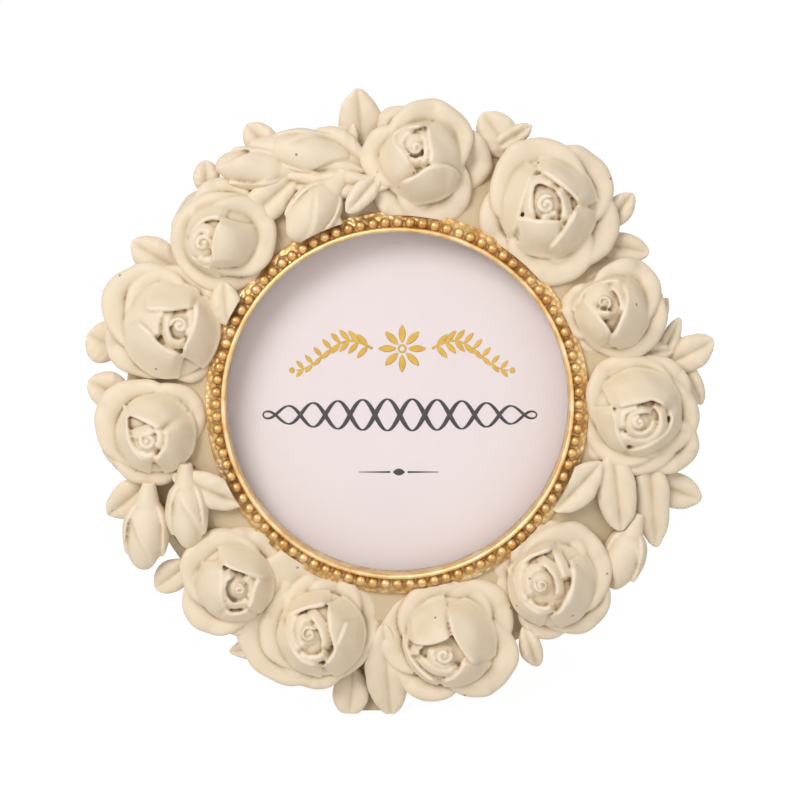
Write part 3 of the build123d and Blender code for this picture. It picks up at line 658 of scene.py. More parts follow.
ROSES = (
    Rose("rose_top", 85.2, 1.036, (
        (58, 1.13, 0.75, 0.56), (173, 1.03, 0.55, 0.55),
        (243, 1.12, 0.6, 0.5), (298, 1.26, 0.67, 0.5),
        (122, 1.07, 0.38, 0.45), (0, 1.31, 0.55, 0.42),
    ), (0.07, -0.02, 0.73), (
        (0.6, 0, (0.22, 0.62), (-0.01, 0.58), (-0.25, 0.55), (-0.44, 0.44), (-0.42, 0.29), (-0.28, 0.12),
         (-0.16, -0.07), (-0.04, -0.21)),
        (1.3, 0, (-0.35, -0.45), (-0.18, -0.36), (-0.01, -0.28), (0.13, -0.17), (0.29, -0.12),
         (0.49, -0.11), (0.65, -0.19), (0.77, -0.33)),
        (0.9, 0, (0.22, -0.14), (0.24, 0.14), (0.20, 0.39), (0.17, 0.63)),
        (0.3, 1.6, (-0.08, 0.51), (-0.23, 0.41), (-0.30, 0.29), (-0.25, 0.14), (-0.13, 0.00)),
        (0.3, 1.6, (0.05, -0.12), (0.13, 0.07), (0.13, 0.31), (0.04, 0.50)),
        (0.1, 1.4, (-0.16, 0.03), (-0.04, -0.02), (0.08, 0.05)),
    ), Curl(-0.04, 0.22, 1.3, 1.2, 200)),
    Rose("rose_upper_right", 51.9, 1.03, (
        (110, 1.35, 0.87, 0.55), (46, 1.34, 0.72, 0.5),
        (337, 1.3, 0.77, 0.5), (192, 1.22, 0.69, 0.5),
        (276, 1.31, 0.76, 0.52),
    ), (-0.01, 0.09, 0.86), (
        (0.5, 0, (-0.24, 0.78), (-0.34, 0.59), (-0.44, 0.37), (-0.51, 0.13), (-0.56, -0.10),
         (-0.61, -0.29), (-0.66, -0.48)),
        (1.2, 0, (0.57, 0.09), (0.48, 0.25), (0.32, 0.41), (0.13, 0.56), (-0.04, 0.68), (-0.22, 0.78)),
        (1, 0, (-0.04, -0.70), (0.05, -0.58), (0.22, -0.37), (0.38, -0.11), (0.51, 0.15)),
        (0.7, 0, (-0.66, -0.27), (-0.54, -0.10), (-0.40, -0.11), (-0.25, -0.16), (-0.04, -0.15),
         (0.15, -0.15), (0.27, -0.22)),
        (0.3, 1.7, (0.22, -0.15), (0.25, 0.04), (0.22, 0.25), (0.10, 0.44)),
        (0.35, 1.5, (0.11, 0.41), (-0.04, 0.51), (-0.18, 0.56), (-0.29, 0.51), (-0.34, 0.32),
         (-0.34, 0.09), (-0.26, -0.13)),
        (0.1, 1.4, (-0.16, -0.08), (-0.02, -0.04), (0.13, 0.03)),
    ), Curl(-0.06, 0.15, 1.9, 1.4, 60)),
    Rose("rose_right_upper", 24.2, 0.982, (
        (186, 0.9, 0.5, 0.5), (272, 0.9, 0.65, 0.45), (338, 1.07, 0.8, 0.5),
        (45, 1.04, 0.62, 0.55),
    ), (0.06, -0.04, 0.65), (
        (0.7, 0, (-0.39, 0.29), (-0.45, 0.15), (-0.35, 0.04), (-0.23, -0.11), (-0.10, -0.27), (0.02, -0.48)),
        (0.5, 0, (0.27, 0.46), (0.10, 0.53), (-0.11, 0.50), (-0.30, 0.44), (-0.46, 0.32), (-0.56, 0.15),
         (-0.57, -0.01)),
        (1.1, 0, (-0.01, -0.58), (0.07, -0.39), (0.16, -0.18), (0.24, 0.01), (0.29, 0.20), (0.26, 0.37),
         (0.15, 0.50)),
        (0.4, 1.7, (0.14, -0.04), (0.19, 0.11), (0.12, 0.30), (-0.02, 0.46)),
        (0.2, 1.5, (-0.02, 0.34), (-0.19, 0.37), (-0.32, 0.25), (-0.35, 0.11), (-0.26, 0.01),
         (-0.10, -0.03), (0.07, -0.03)),
    ), Curl(-0.14, 0.15, 1.5, 1.3, 300)),
    Rose("rose_right_lower", -3.1, 1.03, (
        (176, 1.09, 0.9, 0.48), (116, 1.18, 0.8, 0.51),
        (62, 1.18, 0.7, 0.46), (4, 1.06, 0.75, 0.5),
        (318, 1.28, 0.52, 0.45), (265, 1.06, 0.76, 0.49),
        (222, 1.15, 0.46, 0.42),
    ), (-0.03, 0.10, 0.77), (
        (0.9, 0, (0.47, 0.17), (0.35, 0.31), (0.16, 0.40), (-0.05, 0.34), (-0.30, 0.29), (-0.52, 0.22)),
        (0.6, 0, (-0.54, 0.22), (-0.47, 0.03), (-0.45, -0.16), (-0.38, -0.32), (-0.29, -0.50),
         (-0.18, -0.60)),
        (0.7, 0, (-0.31, -0.55), (-0.15, -0.57), (0.04, -0.50), (0.24, -0.39), (0.41, -0.27),
         (0.53, -0.11), (0.55, 0.06), (0.44, 0.19)),
        (0.3, 1.6, (-0.02, 0.22), (-0.19, 0.20), (-0.33, 0.13), (-0.36, -0.02), (-0.29, -0.18)),
        (0.4, 1.5, (-0.41, -0.16), (-0.27, -0.31), (-0.11, -0.38), (0.10, -0.36), (0.27, -0.24),
         (0.34, -0.06), (0.32, 0.13), (0.19, 0.24)),
        (0.1, 1.2, (0.16, 0.12), (-0.01, 0.17), (-0.17, 0.12), (-0.22, -0.06), (-0.15, -0.22),
         (0.01, -0.25), (0.15, -0.16), (0.20, -0.01)),
    ), Curl(-0.05, -0.04, 1.3, 1.3, 90)),
    Rose("rose_lower_right", -49.0, 1.006, (
        (98, 1.12, 0.68, 0.5), (40, 1.15, 0.85, 0.52),
        (322, 1.18, 0.72, 0.48), (262, 1.12, 0.5, 0.4),
        (165, 1.12, 0.6, 0.42),
    ), (0.00, -0.06, 0.77), (
        (0.9, 0, (0.03, 0.63), (-0.14, 0.59), (-0.37, 0.50), (-0.56, 0.36), (-0.70, 0.22)),
        (0.6, 0, (-0.72, 0.24), (-0.68, 0.02), (-0.61, -0.19), (-0.49, -0.35), (-0.31, -0.47),
         (-0.10, -0.58)),
        (1, 0, (-0.03, -0.60), (0.13, -0.46), (0.25, -0.24), (0.34, -0.03), (0.37, 0.22), (0.32, 0.42)),
        (0.6, 1.5, (0.21, 0.08), (0.12, 0.33), (0.02, 0.59)),
        (0.35, 1.6, (-0.42, 0.40), (-0.54, 0.26), (-0.58, 0.04), (-0.54, -0.17), (-0.42, -0.37)),
        (0.45, 1.5, (0.04, -0.24), (0.07, -0.03), (0.02, 0.17), (-0.10, 0.33), (-0.28, 0.43)),
        (0.25, 1.5, (-0.44, -0.26), (-0.31, -0.40), (-0.14, -0.42), (0.00, -0.35)),
        (0.1, 1.2, (-0.16, 0.27), (-0.32, 0.27), (-0.42, 0.15), (-0.44, -0.05), (-0.35, -0.21)),
    ), Curl(-0.21, 0.01, 1.5, 1.4, 150)),
    Rose("rose_bottom", -77.5, 1.034, (
        (102, 1.18, 0.85, 0.5), (240, 1.3, 0.6, 0.42),
        (325, 1.34, 0.75, 0.5), (175, 1.27, 0.75, 0.45),
        (38, 1.28, 0.72, 0.48),
    ), (0.00, -0.05, 0.82), (
        (1.2, 0, (0.06, 0.21), (-0.08, 0.14), (-0.24, 0.07), (-0.45, 0.01), (-0.64, 0.00), (-0.77, 0.05)),
        (1, 0, (0.52, -0.45), (0.40, -0.31), (0.28, -0.15), (0.17, 0.01), (0.06, 0.21),
         (0.00, 0.44), (-0.01, 0.66)),
        (0.5, 0, (-0.77, 0.07), (-0.78, -0.13), (-0.69, -0.34), (-0.54, -0.52), (-0.36, -0.67),
         (-0.18, -0.77)),
        (0.5, 0, (-0.16, -0.74), (0.03, -0.65), (0.19, -0.49), (0.28, -0.27)),
        (0.3, 1.5, (-0.54, -0.22), (-0.41, -0.36), (-0.24, -0.47), (-0.04, -0.50), (0.12, -0.40)),
        (0.2, 1.4, (-0.47, -0.04), (-0.57, -0.13), (-0.57, -0.27)),
        (0.1, 1.2, (-0.25, -0.06), (-0.32, -0.18), (-0.27, -0.34), (-0.11, -0.41), (0.05, -0.33)),
    ), Curl(-0.11, -0.20, 1.7, 1.3, 30, -1)),
    Rose("rose_bottom_left", -109.4, 1.034, (
        (75, 1.12, 0.7, 0.48), (25, 1.16, 0.8, 0.45), (315, 1, 1.3, 0.42),
        (262, 1.12, 0.62, 0.45), (178, 1.06, 0.75, 0.5),
    ), (0.08, -0.05, 0.77), (
        (0.8, 0, (0.24, 0.57), (0.07, 0.53), (-0.13, 0.50), (-0.30, 0.44), (-0.46, 0.34), (-0.59, 0.21)),
        (1, 0, (0.10, -0.61), (0.24, -0.43), (0.35, -0.24), (0.31, -0.06), (0.26, 0.12), (0.24, 0.34),
         (0.21, 0.55)),
        (1.2, 0, (0.33, -0.24), (0.42, -0.06), (0.51, 0.14), (0.56, 0.30)),
        (0.6, 0, (-0.60, 0.23), (-0.53, 0.02), (-0.46, -0.20), (-0.36, -0.36), (-0.22, -0.47),
         (-0.04, -0.52), (0.10, -0.56)),
        (0.35, 1.6, (-0.30, 0.37), (-0.41, 0.25), (-0.45, 0.07), (-0.39, -0.15), (-0.27, -0.31)),
        (0.45, 1.5, (0.10, -0.27), (0.14, -0.07), (0.08, 0.12), (-0.02, 0.28), (-0.16, 0.41)),
        (0.3, 1.4, (-0.31, -0.32), (-0.15, -0.41), (0.03, -0.38), (0.17, -0.27)),
        (0.1, 1.2, (-0.06, 0.25), (-0.22, 0.27), (-0.30, 0.10), (-0.29, -0.09), (-0.18, -0.22)),
    ), Curl(-0.13, 0.03, 1.7, 1.4, 40)),
    Rose("rose_lower_left", -131.8, 1.026, (
        (142, 1.09, 0.75, 0.52), (222, 1.13, 0.68, 0.5),
        (64, 1.04, 0.72, 0.48), (5, 1.02, 0.5, 0.45), (276, 1, 0.6, 0.45),
    ), (-0.04, -0.02, 0.68), (
        (0.8, 0, (0.62, 0.05), (0.47, 0.14), (0.29, 0.21), (0.13, 0.28), (-0.04, 0.33), (-0.18, 0.39),
         (-0.31, 0.40)),
        (0.6, 0, (-0.32, 0.42), (-0.24, 0.24), (-0.25, 0.05), (-0.26, -0.15), (-0.22, -0.33), (-0.12, -0.47)),
        (1, 0, (0.20, -0.45), (0.27, -0.27), (0.32, -0.09), (0.38, 0.08), (0.47, 0.17)),
        (0.5, 0, (-0.24, -0.42), (-0.08, -0.52), (0.09, -0.50), (0.25, -0.42)),
        (0.3, 1.6, (-0.01, 0.21), (-0.17, 0.14), (-0.22, -0.01), (-0.19, -0.17), (-0.08, -0.29)),
        (0.2, 1.3, (0.22, -0.24), (0.27, -0.09), (0.24, 0.07), (0.12, 0.15)),
        (0.2, 1.4, (-0.17, -0.22), (-0.05, -0.31), (0.11, -0.29), (0.22, -0.22)),
    ), Curl(0.06, -0.04, 1.3, 1.3, 120, -1)),
    Rose("rose_left_lower", -172.6, 1.066, (
        (128, 1.1, 0.8, 0.5), (193, 0.9, 0.52, 0.45),
        (42, 1.12, 0.65, 0.5), (270, 0.92, 0.68, 0.48),
        (335, 1.4, 0.45, 0.35),
    ), (0.13, 0.05, 0.70), (
        (0.8, 0, (0.29, 0.14), (0.18, 0.26), (0.03, 0.33), (-0.15, 0.39), (-0.30, 0.42), (-0.39, 0.49)),
        (0.6, 0, (-0.37, 0.54), (-0.36, 0.35), (-0.34, 0.14), (-0.31, -0.04), (-0.22, -0.21),
         (-0.08, -0.34), (0.09, -0.41)),
        (1, 0, (0.11, -0.41), (0.25, -0.28), (0.36, -0.11), (0.39, 0.07), (0.32, 0.23)),
        (0.45, 1.8, (0.17, 0.18), (0.03, 0.10), (-0.13, 0.07), (-0.26, 0.00)),
        (0.3, 1.4, (0.18, -0.18), (0.25, -0.02), (0.24, 0.12), (0.13, 0.23)),
        (0.25, 1.4, (-0.24, -0.12), (-0.14, -0.25), (0.02, -0.30), (0.18, -0.23)),
    ), Curl(0.04, -0.02, 1.9, 1.5, 70)),
    Rose("rose_left_upper", 161.0, 1.038, (
        (138, 1.26, 0.8, 0.5), (64, 1.1, 0.85, 0.5),
        (215, 1.17, 0.75, 0.45), (312, 1.15, 0.6, 0.48),
    ), (0.10, -0.10, 0.84), (
        (0.9, 0, (0.60, 0.38), (0.43, 0.35), (0.22, 0.31), (-0.01, 0.31), (-0.22, 0.31), (-0.41, 0.35)),
        (0.7, 0, (-0.57, 0.12), (-0.38, 0.00), (-0.22, -0.12), (-0.12, -0.28), (0.02, -0.40),
         (0.18, -0.47), (0.35, -0.54)),
        (1.1, 0, (0.33, -0.54), (0.40, -0.35), (0.48, -0.18), (0.55, -0.02), (0.58, 0.17), (0.58, 0.35),
         (0.60, 0.50)),
        (0.3, 0, (0.04, 0.28), (-0.06, 0.16), (-0.10, -0.02), (-0.08, -0.19)),
        (0.3, 1.5, (0.17, 0.26), (0.08, 0.12), (0.08, -0.07), (0.14, -0.23), (0.28, -0.28), (0.42, -0.21)),
        (0.4, 1.5, (0.41, -0.19), (0.48, -0.02), (0.48, 0.16), (0.39, 0.28)),
    ), Curl(0.29, 0.02, 1.7, 1.4, 180, -1)),
    Rose("rose_upper_left", 136.7, 1.028, (
        (84, 1.06, 0.62, 0.5), (152, 0.88, 0.55, 0.5),
        (192, 0.88, 0.6, 0.45), (5, 1.02, 0.72, 0.60), (298, 0.98, 0.9, 0.5),
    ), (0.04, -0.02, 0.66), (
        (0.6, 0, (0.11, 0.34), (-0.08, 0.38), (-0.25, 0.34), (-0.38, 0.24), (-0.48, 0.10), (-0.53, -0.04)),
        (0.5, 0, (-0.52, 0.05), (-0.54, -0.12), (-0.48, -0.30), (-0.36, -0.44), (-0.21, -0.50),
         (-0.07, -0.47)),
        (1.1, 0, (-0.02, -0.50), (-0.07, -0.33), (-0.08, -0.14), (-0.05, 0.05), (0.02, 0.21), (0.11, 0.36)),
        (0.35, 1.4, (-0.10, 0.02), (-0.20, 0.14), (-0.32, 0.15), (-0.41, 0.05), (-0.43, -0.11),
         (-0.38, -0.26)),
        (0.25, 1.4, (-0.36, -0.28), (-0.26, -0.37), (-0.14, -0.37), (-0.05, -0.28)),
    ), Curl(-0.27, -0.09, 1.8, 1.3, 330)),
)


def on_wreath(shares: Place) -> np.ndarray:
    """Turns shares of the orbit, across and up, and of the depth, outward, into millimetres."""
    return np.array(shares) * np.array([ORBIT, ORBIT, DEPTH])


def growth(base: np.ndarray, tip: np.ndarray) -> tuple[float, np.ndarray, np.ndarray, np.ndarray]:
    """Finds how long a leaf or a bud is and which way it grows.

    Args:
        base: Its base.
        tip: Its tip.

    Returns:
        Its length, and the unit vectors along it, across it and outward from the face.
    """
    along = unit(tip - base)
    outward = unit(UPRIGHT - along * along[2])
    return float(np.linalg.norm(tip - base)), along, np.cross(outward, along), outward


@dataclass(frozen=True)
class Leaf:
    """A leaf from its base to its tip, with its half width as a share.

    The heights are millimetres, and alike in all leaves.
    """

    base: Place
    tip: Place
    half_width: float

    # How much of the seen length is hidden before the base
    HIDDEN = 0.5
    WIDEN = 1.2
    BOW = 1.0
    SEAT = 0.4
    THICK = 0.85
    CREASE = 0.75
    CREASE_WIDTH = 0.22
    VEIN = 0.10
    # How closely the veins follow each other, and how far they slant outward
    VEIN_WAVES = 30
    VEIN_SLANT = 5.0
    # The edge's first rise and its later fall
    DROOP = (0.60, 0.80)
    TWIST = 0.5
    TIP_DROP = 0.1

    def add_to(self, shell: Shell, rng: np.random.Generator) -> None:
        """Adds a pointed oval blade with a creased middle and drooping edges.

        Along the share s the half width follows sin(pi * s) to a power, the blade bows upward, and
        the upper side sinks along the midrib.

        Args:
            shell: The spray's surfaces.
            rng: The source of the small differences between leaves.
        """
        base, tip = on_wreath(self.base), on_wreath(self.tip)
        length, along, side, outward = growth(base, tip)
        root, total = base - along * length * self.HIDDEN, length * (1 + self.HIDDEN)
        share = np.linspace(0.02, 0.985, 30)[:, None]
        swell = np.sin(math.pi * share)
        half = self.WIDEN * BLADE * self.half_width * np.sin(math.pi * share**1.12) ** 0.56
        bow = self.BOW * swell - self.SEAT
        turn = circle(32)
        lateral, offset = np.cos(turn), np.abs(np.cos(turn))
        through = np.sign(np.sin(turn)) * np.abs(np.sin(turn)) ** 0.7
        upper = through > 0
        crease = self.CREASE * np.exp(-(offset / self.CREASE_WIDTH) ** 1.3) * upper
        vein = self.VEIN * np.sin(share * self.VEIN_WAVES - offset * self.VEIN_SLANT) * upper * offset
        droop = self.DROOP[0] * offset - self.DROOP[1] * offset**4
        twist = rng.uniform(-self.TWIST, self.TWIST) * lateral * share
        height = bow + self.THICK * swell**0.5 * through + droop - crease * swell + vein + twist
        grid = (
            (root + along * total * share)[:, None]
            + side * (half * lateral)[..., None]
            + outward * height[..., None]
        )
        shell.loops(grid, root, tip + outward * (bow[-1] - self.TIP_DROP))


LEAVES = {
    "leaves_top": (
        ((-0.15, 1.108, 0.30), (-0.17, 1.335, 0.40), 0.40),
        ((-0.116, 0.924, 0.64), (-0.215, 0.81, 0.72), 0.21),
        ((0.45, 1.10, 0.35), (0.36, 1.234, 0.40), 0.36),
        ((0.448, 1.104, 0.36), (0.57, 1.18, 0.40), 0.19),
    ),
    "leaves_upper_right": (
        ((0.916, 0.788, 0.35), (1.00, 0.894, 0.40), 0.25),
        ((0.898, 0.672, 0.30), (1.076, 0.642, 0.35), 0.28),
    ),
    "leaves_right": (
        ((1.098, 0.354, 0.40), (1.156, 0.452, 0.40), 0.15),
        ((1.14, 0.214, 0.30), (1.206, 0.362, 0.35), 0.17),
        ((1.056, 0.216, 0.40), (1.182, 0.224, 0.35), 0.17),
        ((1.212, 0.188, 0.30), (1.354, 0.266, 0.35), 0.32),
        ((1.24, 0.126, 0.25), (1.308, -0.018, 0.30), 0.21),
    ),
    "leaves_lower_right": (
        ((1.132, -0.36, 0.30), (1.312, -0.426, 0.30), 0.34),
        ((0.928, -0.308, 0.55), (0.958, -0.554, 0.50), 0.36),
        ((1.082, -0.322, 0.45), (1.116, -0.636, 0.30), 0.32),
        ((0.802, -0.314, 0.62), (0.665, -0.456, 0.66), 0.34),
    ),
    "leaves_bottom": (
        ((0.564, -1.03, 0.40), (0.61, -1.162, 0.30), 0.21),
        ((-0.198, -1.23, 0.22), (-0.212, -1.385, 0.20), 0.34),
        ((-0.052, -1.092, 0.45), (-0.030, -1.385, 0.22), 0.40),
    ),
    "leaves_lower_left": (
        ((-0.938, -0.728, 0.35), (-1.052, -0.814, 0.25), 0.30),
        ((-0.518, -1.056, 0.35), (-0.736, -1.09, 0.30), 0.23),
    ),
    "leaves_left": (
        ((-1.224, 0.244, 0.30), (-1.328, 0.292, 0.35), 0.42),
        ((-1.192, 0.028, 0.30), (-1.332, 0.094, 0.30), 0.34),
        ((-1.108, -0.38, 0.35), (-1.252, -0.498, 0.25), 0.32),
        ((-0.862, -0.344, 0.60), (-0.66, -0.425, 0.65), 0.32),
    ),
    "leaves_upper_left": (
        ((-0.99, 0.60, 0.35), (-1.138, 0.688, 0.30), 0.34),
        ((-0.806, 0.926, 0.35), (-0.818, 1.036, 0.35), 0.25),
        ((-0.73, 0.464, 0.60), (-0.72, 0.335, 0.64), 0.28),
        ((-0.54, 1.074, 0.40), (-0.646, 1.184, 0.35), 0.30),
        ((-0.336, 1.054, 0.40), (-0.32, 1.172, 0.40), 0.25),
        ((-0.264, 1.032, 0.40), (-0.192, 1.192, 0.40), 0.30),
        ((-0.20, 1.06, 0.50), (-0.34, 1.16, 0.48), 0.30),
        ((-0.16, 0.93, 0.60), (-0.46, 0.93, 0.56), 0.24),
        ((-0.24, 0.98, 0.56), (-0.52, 1.00, 0.58), 0.26),
        ((-0.50, 0.90, 0.56), (-0.66, 0.76, 0.56), 0.34),
        ((-0.30, 0.80, 0.60), (-0.24, 0.70, 0.62), 0.20),
    ),
}


@dataclass(frozen=True)
class Bud:
    """A closed bud from its base to its tip, with its radius as a share.

    Its other sizes are alike in all buds: millimetres, degrees, and shares of its radius or length.
    """

    name: str
    base: Place
    tip: Place
    radius: float

    WRAPS = 3
    WRAP_TURN = 1.1
    WRAP_STEP = 0.20
    TAPER = 0.12
    SEPALS = (15, 165, 275)
    SEPAL_SHIFT = 12
    SEPAL_REACH = 0.78
    SEPAL_HALF = 0.42
    SEPAL_THICK = 0.45
    SEPAL_STAND = 0.15
    STEM_ENDS = (-4.0, 1.0)
    STEM_RADIUS = 1.4
    CALYX = 0.6

    def _girth(self, share: np.ndarray) -> np.ndarray:
        """Gives the egg's radius at shares of its length: sin(pi * s) to a power."""
        return BLADE * self.radius * np.sin(math.pi * share**0.92) ** 0.42

    def shell(self, rng: np.random.Generator) -> Shell:
        """Builds the bud: an egg of wrapped petals, three sepals and a stem.

        The egg's radius steps down along a line that winds round it, which gives the wrapped edges.

        Args:
            rng: The source of the small differences between buds.

        Returns:
            The surfaces, still apart.
        """
        made = Shell()
        base, tip = on_wreath(self.base), on_wreath(self.tip)
        length, along, side, lift = growth(base, tip)
        cheek = BLADE * self.radius
        share = np.linspace(0.02, 0.99, 60)[:, None]
        turn = circle(120)
        wind = (turn * self.WRAPS / FULL_TURN + self.WRAP_TURN * share + rng.uniform(0, 1)) % 1.0
        fall = wind**2 * (1 - smoothstep(0.85, 1.0, wind)) - 0.4
        step = self.WRAP_STEP * fall * smoothstep(0.05, 0.4, share)
        radius = self._girth(share) * (1 - self.TAPER * share**3) * (1 + step)
        grid = (
            (base + along * length * share)[:, None]
            + side * (radius * np.cos(turn))[..., None]
            + lift * (radius * np.sin(turn))[..., None]
        )
        made.loops(grid, base, tip)
        run = np.linspace(0.0, self.SEPAL_REACH, 16)[:, None]
        half = cheek * self.SEPAL_HALF * np.sin(math.pi * np.linspace(0.12, 0.98, 16)) ** 0.8
        for start in self.SEPALS:
            angle = math.radians(start + rng.uniform(-self.SEPAL_SHIFT, self.SEPAL_SHIFT))
            out = side * math.cos(angle) + lift * math.sin(angle)
            stand = self._girth(np.clip(run, 0.02, 1)) + self.SEPAL_STAND
            path = base + along * (length * run) + out * stand
            made.rod(path, np.cross(out, along), out, half, self.SEPAL_THICK, 14)
        stem = base + along * np.linspace(*self.STEM_ENDS, 8)[:, None]
        girth = np.linspace(self.STEM_RADIUS, cheek * self.CALYX, 8)
        made.rod(stem, side, lift, girth, girth, 20)
        return made


BUDS = (
    Bud("bud_upper_left_high", (-0.54, 1.085, 0.50), (-0.20, 1.04, 0.52), 0.44),
    Bud("bud_upper_left_side", (-0.47, 0.99, 0.52), (-0.77, 1.01, 0.50), 0.42),
    Bud("bud_upper_left_low", (-0.27, 0.92, 0.60), (-0.45, 0.70, 0.66), 0.47),
    Bud("bud_left_outer", (-1.066, -0.41, 0.55), (-1.09, -0.72, 0.42), 0.46),
    Bud("bud_left_inner", (-0.90, -0.33, 0.60), (-0.89, -0.62, 0.54), 0.42),
    Bud("bud_right", (1.01, -0.55, 0.42), (0.93, -0.81, 0.36), 0.42),
)


@dataclass
class Casting:
    """Fuses closed surfaces into one cast piece and measures its hollows."""

    face: FaceFrame
    # Side of the cells that surfaces are fused through, and in quick builds, in metres
    cell: float = 0.26 * MM
    quick_cell: float = 0.5 * MM
    # Rounds and strength of the smoothing after it
    rounds: int = 4
    strength: float = 0.5
    # The slow waves: how many, the shortest and longest, and how far one moves the surface
    wave_count: int = 8
    wave_lengths: tuple[float, float] = (4.5, 9.0)
    wave_height: float = 0.045
    # What the piece keeps clear of: the beads, its own back plane, and the table in metres
    clear_radius: float = 39.95
    back: float = 1.0
    table: float = 0.0002
    # Rounds of averaging, and the inset in millimetres that counts as 1
    measures: tuple[tuple[str, int, float], ...] = (("crease", 6, 0.10), ("hollow", 60, 0.6))

    def __post_init__(self) -> None:
        """Draws the direction, length and start of each slow wave."""
        rng = np.random.default_rng(SEED + 1)
        directions = unit(rng.normal(size=(self.wave_count, 3)))
        lengths = rng.uniform(*self.wave_lengths, self.wave_count) * MM
        self.waves = directions * (FULL_TURN / lengths)[:, None]
        self.starts = rng.uniform(0, FULL_TURN, self.wave_count)

    def fuse(self, shell: Shell, name: str) -> bpy.types.Object:
        """Fuses a shell through fine cells, evens out the steps and keeps the result as a mesh.

        Args:
            shell: The closed surfaces.
            name: The piece's name.

        Returns:
            The finished piece.
        """
        made = shell.object(name, self.face)
        remesh = made.modifiers.new("cells", "REMESH")
        remesh.mode = "VOXEL"
        remesh.voxel_size = self.cell
        remesh.use_smooth_shade = True
        even = made.modifiers.new("even", "SMOOTH")
        even.factor = self.strength
        even.iterations = self.rounds
        graph = bpy.context.evaluated_depsgraph_get()
        mesh = bpy.data.meshes.new_from_object(made.evaluated_get(graph))
        raw = made.data
        made.modifiers.clear()
        made.data = mesh
        bpy.data.meshes.remove(raw)
        mesh.name = name
        self._warp(mesh)
        self._trim(mesh)
        self._measure(mesh)
        return made

    @staticmethod
    def _read(mesh: bpy.types.Mesh, field_name: str) -> np.ndarray:
        """Reads a mesh's vertices.

        Args:
            mesh: Any mesh.
            field_name: What is read: "co", in metres, or "normal".

        Returns:
            Vertices by 3.
        """
        found = np.empty(len(mesh.vertices) * 3, np.float32)
        mesh.vertices.foreach_get(field_name, found)
        return found.reshape(-1, 3)

    @staticmethod
    def _move(mesh: bpy.types.Mesh, points: np.ndarray) -> None:
        """Moves a mesh's vertices to new places in metres."""
        mesh.vertices.foreach_set("co", points.astype(np.float32).ravel())
        mesh.update()

    def _warp(self, mesh: bpy.types.Mesh) -> None:
        """Lets the surface swell and sink a little, as poured resin does.

        The move along the normal is a sum of slow sine waves of the place, each in its own direction.

        Args:
            mesh: The fused mesh.
        """
        points = self._read(mesh, "co").astype(float)
        swell = sum(np.sin(points @ wave + start) for wave, start in zip(self.waves, self.starts))
        self._move(mesh, points + self._read(mesh, "normal") * (self.wave_height * MM * swell)[:, None])

    def _trim(self, mesh: bpy.types.Mesh) -> None:
        """Keeps the piece clear of the beads, before its own back plane and above the table.

        Vertices that lie too near the middle move out to the clear radius, those below the back
        plane move up to it, and those under the table's top move up to it.

        Args:
            mesh: The fused mesh.
        """
        local = self.face.local(self._read(mesh, "co"))
        reach = np.hypot(local[:, 0], local[:, 1])
        local[:, :2] *= np.maximum(self.clear_radius / np.maximum(reach, 1e-6), 1)[:, None]
        local[:, 2] = np.maximum(local[:, 2], self.back)
        moved = self.face.world(local)
        moved[:, 2] = np.maximum(moved[:, 2], self.table)
        self._move(mesh, moved)

    def _measure(self, mesh: bpy.types.Mesh) -> None:
        """Writes how hollow each vertex lies, from -1 on edges to 1 in creases.

        Each place is averaged with its neighbours for a number of rounds. Where the average lies
        outside the surface, along the normal, the place is in a hollow.

        Args:
            mesh: The finished mesh.
        """
        points, normals = self._read(mesh, "co").astype(float), self._read(mesh, "normal")
        ends = np.empty(len(mesh.edges) * 2, np.int32)
        mesh.edges.foreach_get("vertices", ends)
        degree = np.maximum(np.bincount(ends, minlength=len(points)), 1)[:, None]
        ends = ends.reshape(-1, 2).T
        for name, rounds, full in self.measures:
            even = points.copy()
            for _ in range(rounds):
                sums = [
                    sum(np.bincount(here, column[there], len(column)) for here, there in (ends, ends[::-1]))
                    for column in even.T
                ]
                even = 0.5 * even + 0.5 * np.stack(sums, -1) / degree
            inset = ((even - points) * normals).sum(-1) / MM
            layer = mesh.attributes.new(name, "FLOAT", "POINT")
            layer.data.foreach_set("value", np.clip(inset / full, -1, 1).astype(np.float32))


class Way(Enum):
    """How a value goes from one end of a range to the other."""

    EVEN = "LINEAR"
    SOFT = "SMOOTHSTEP"


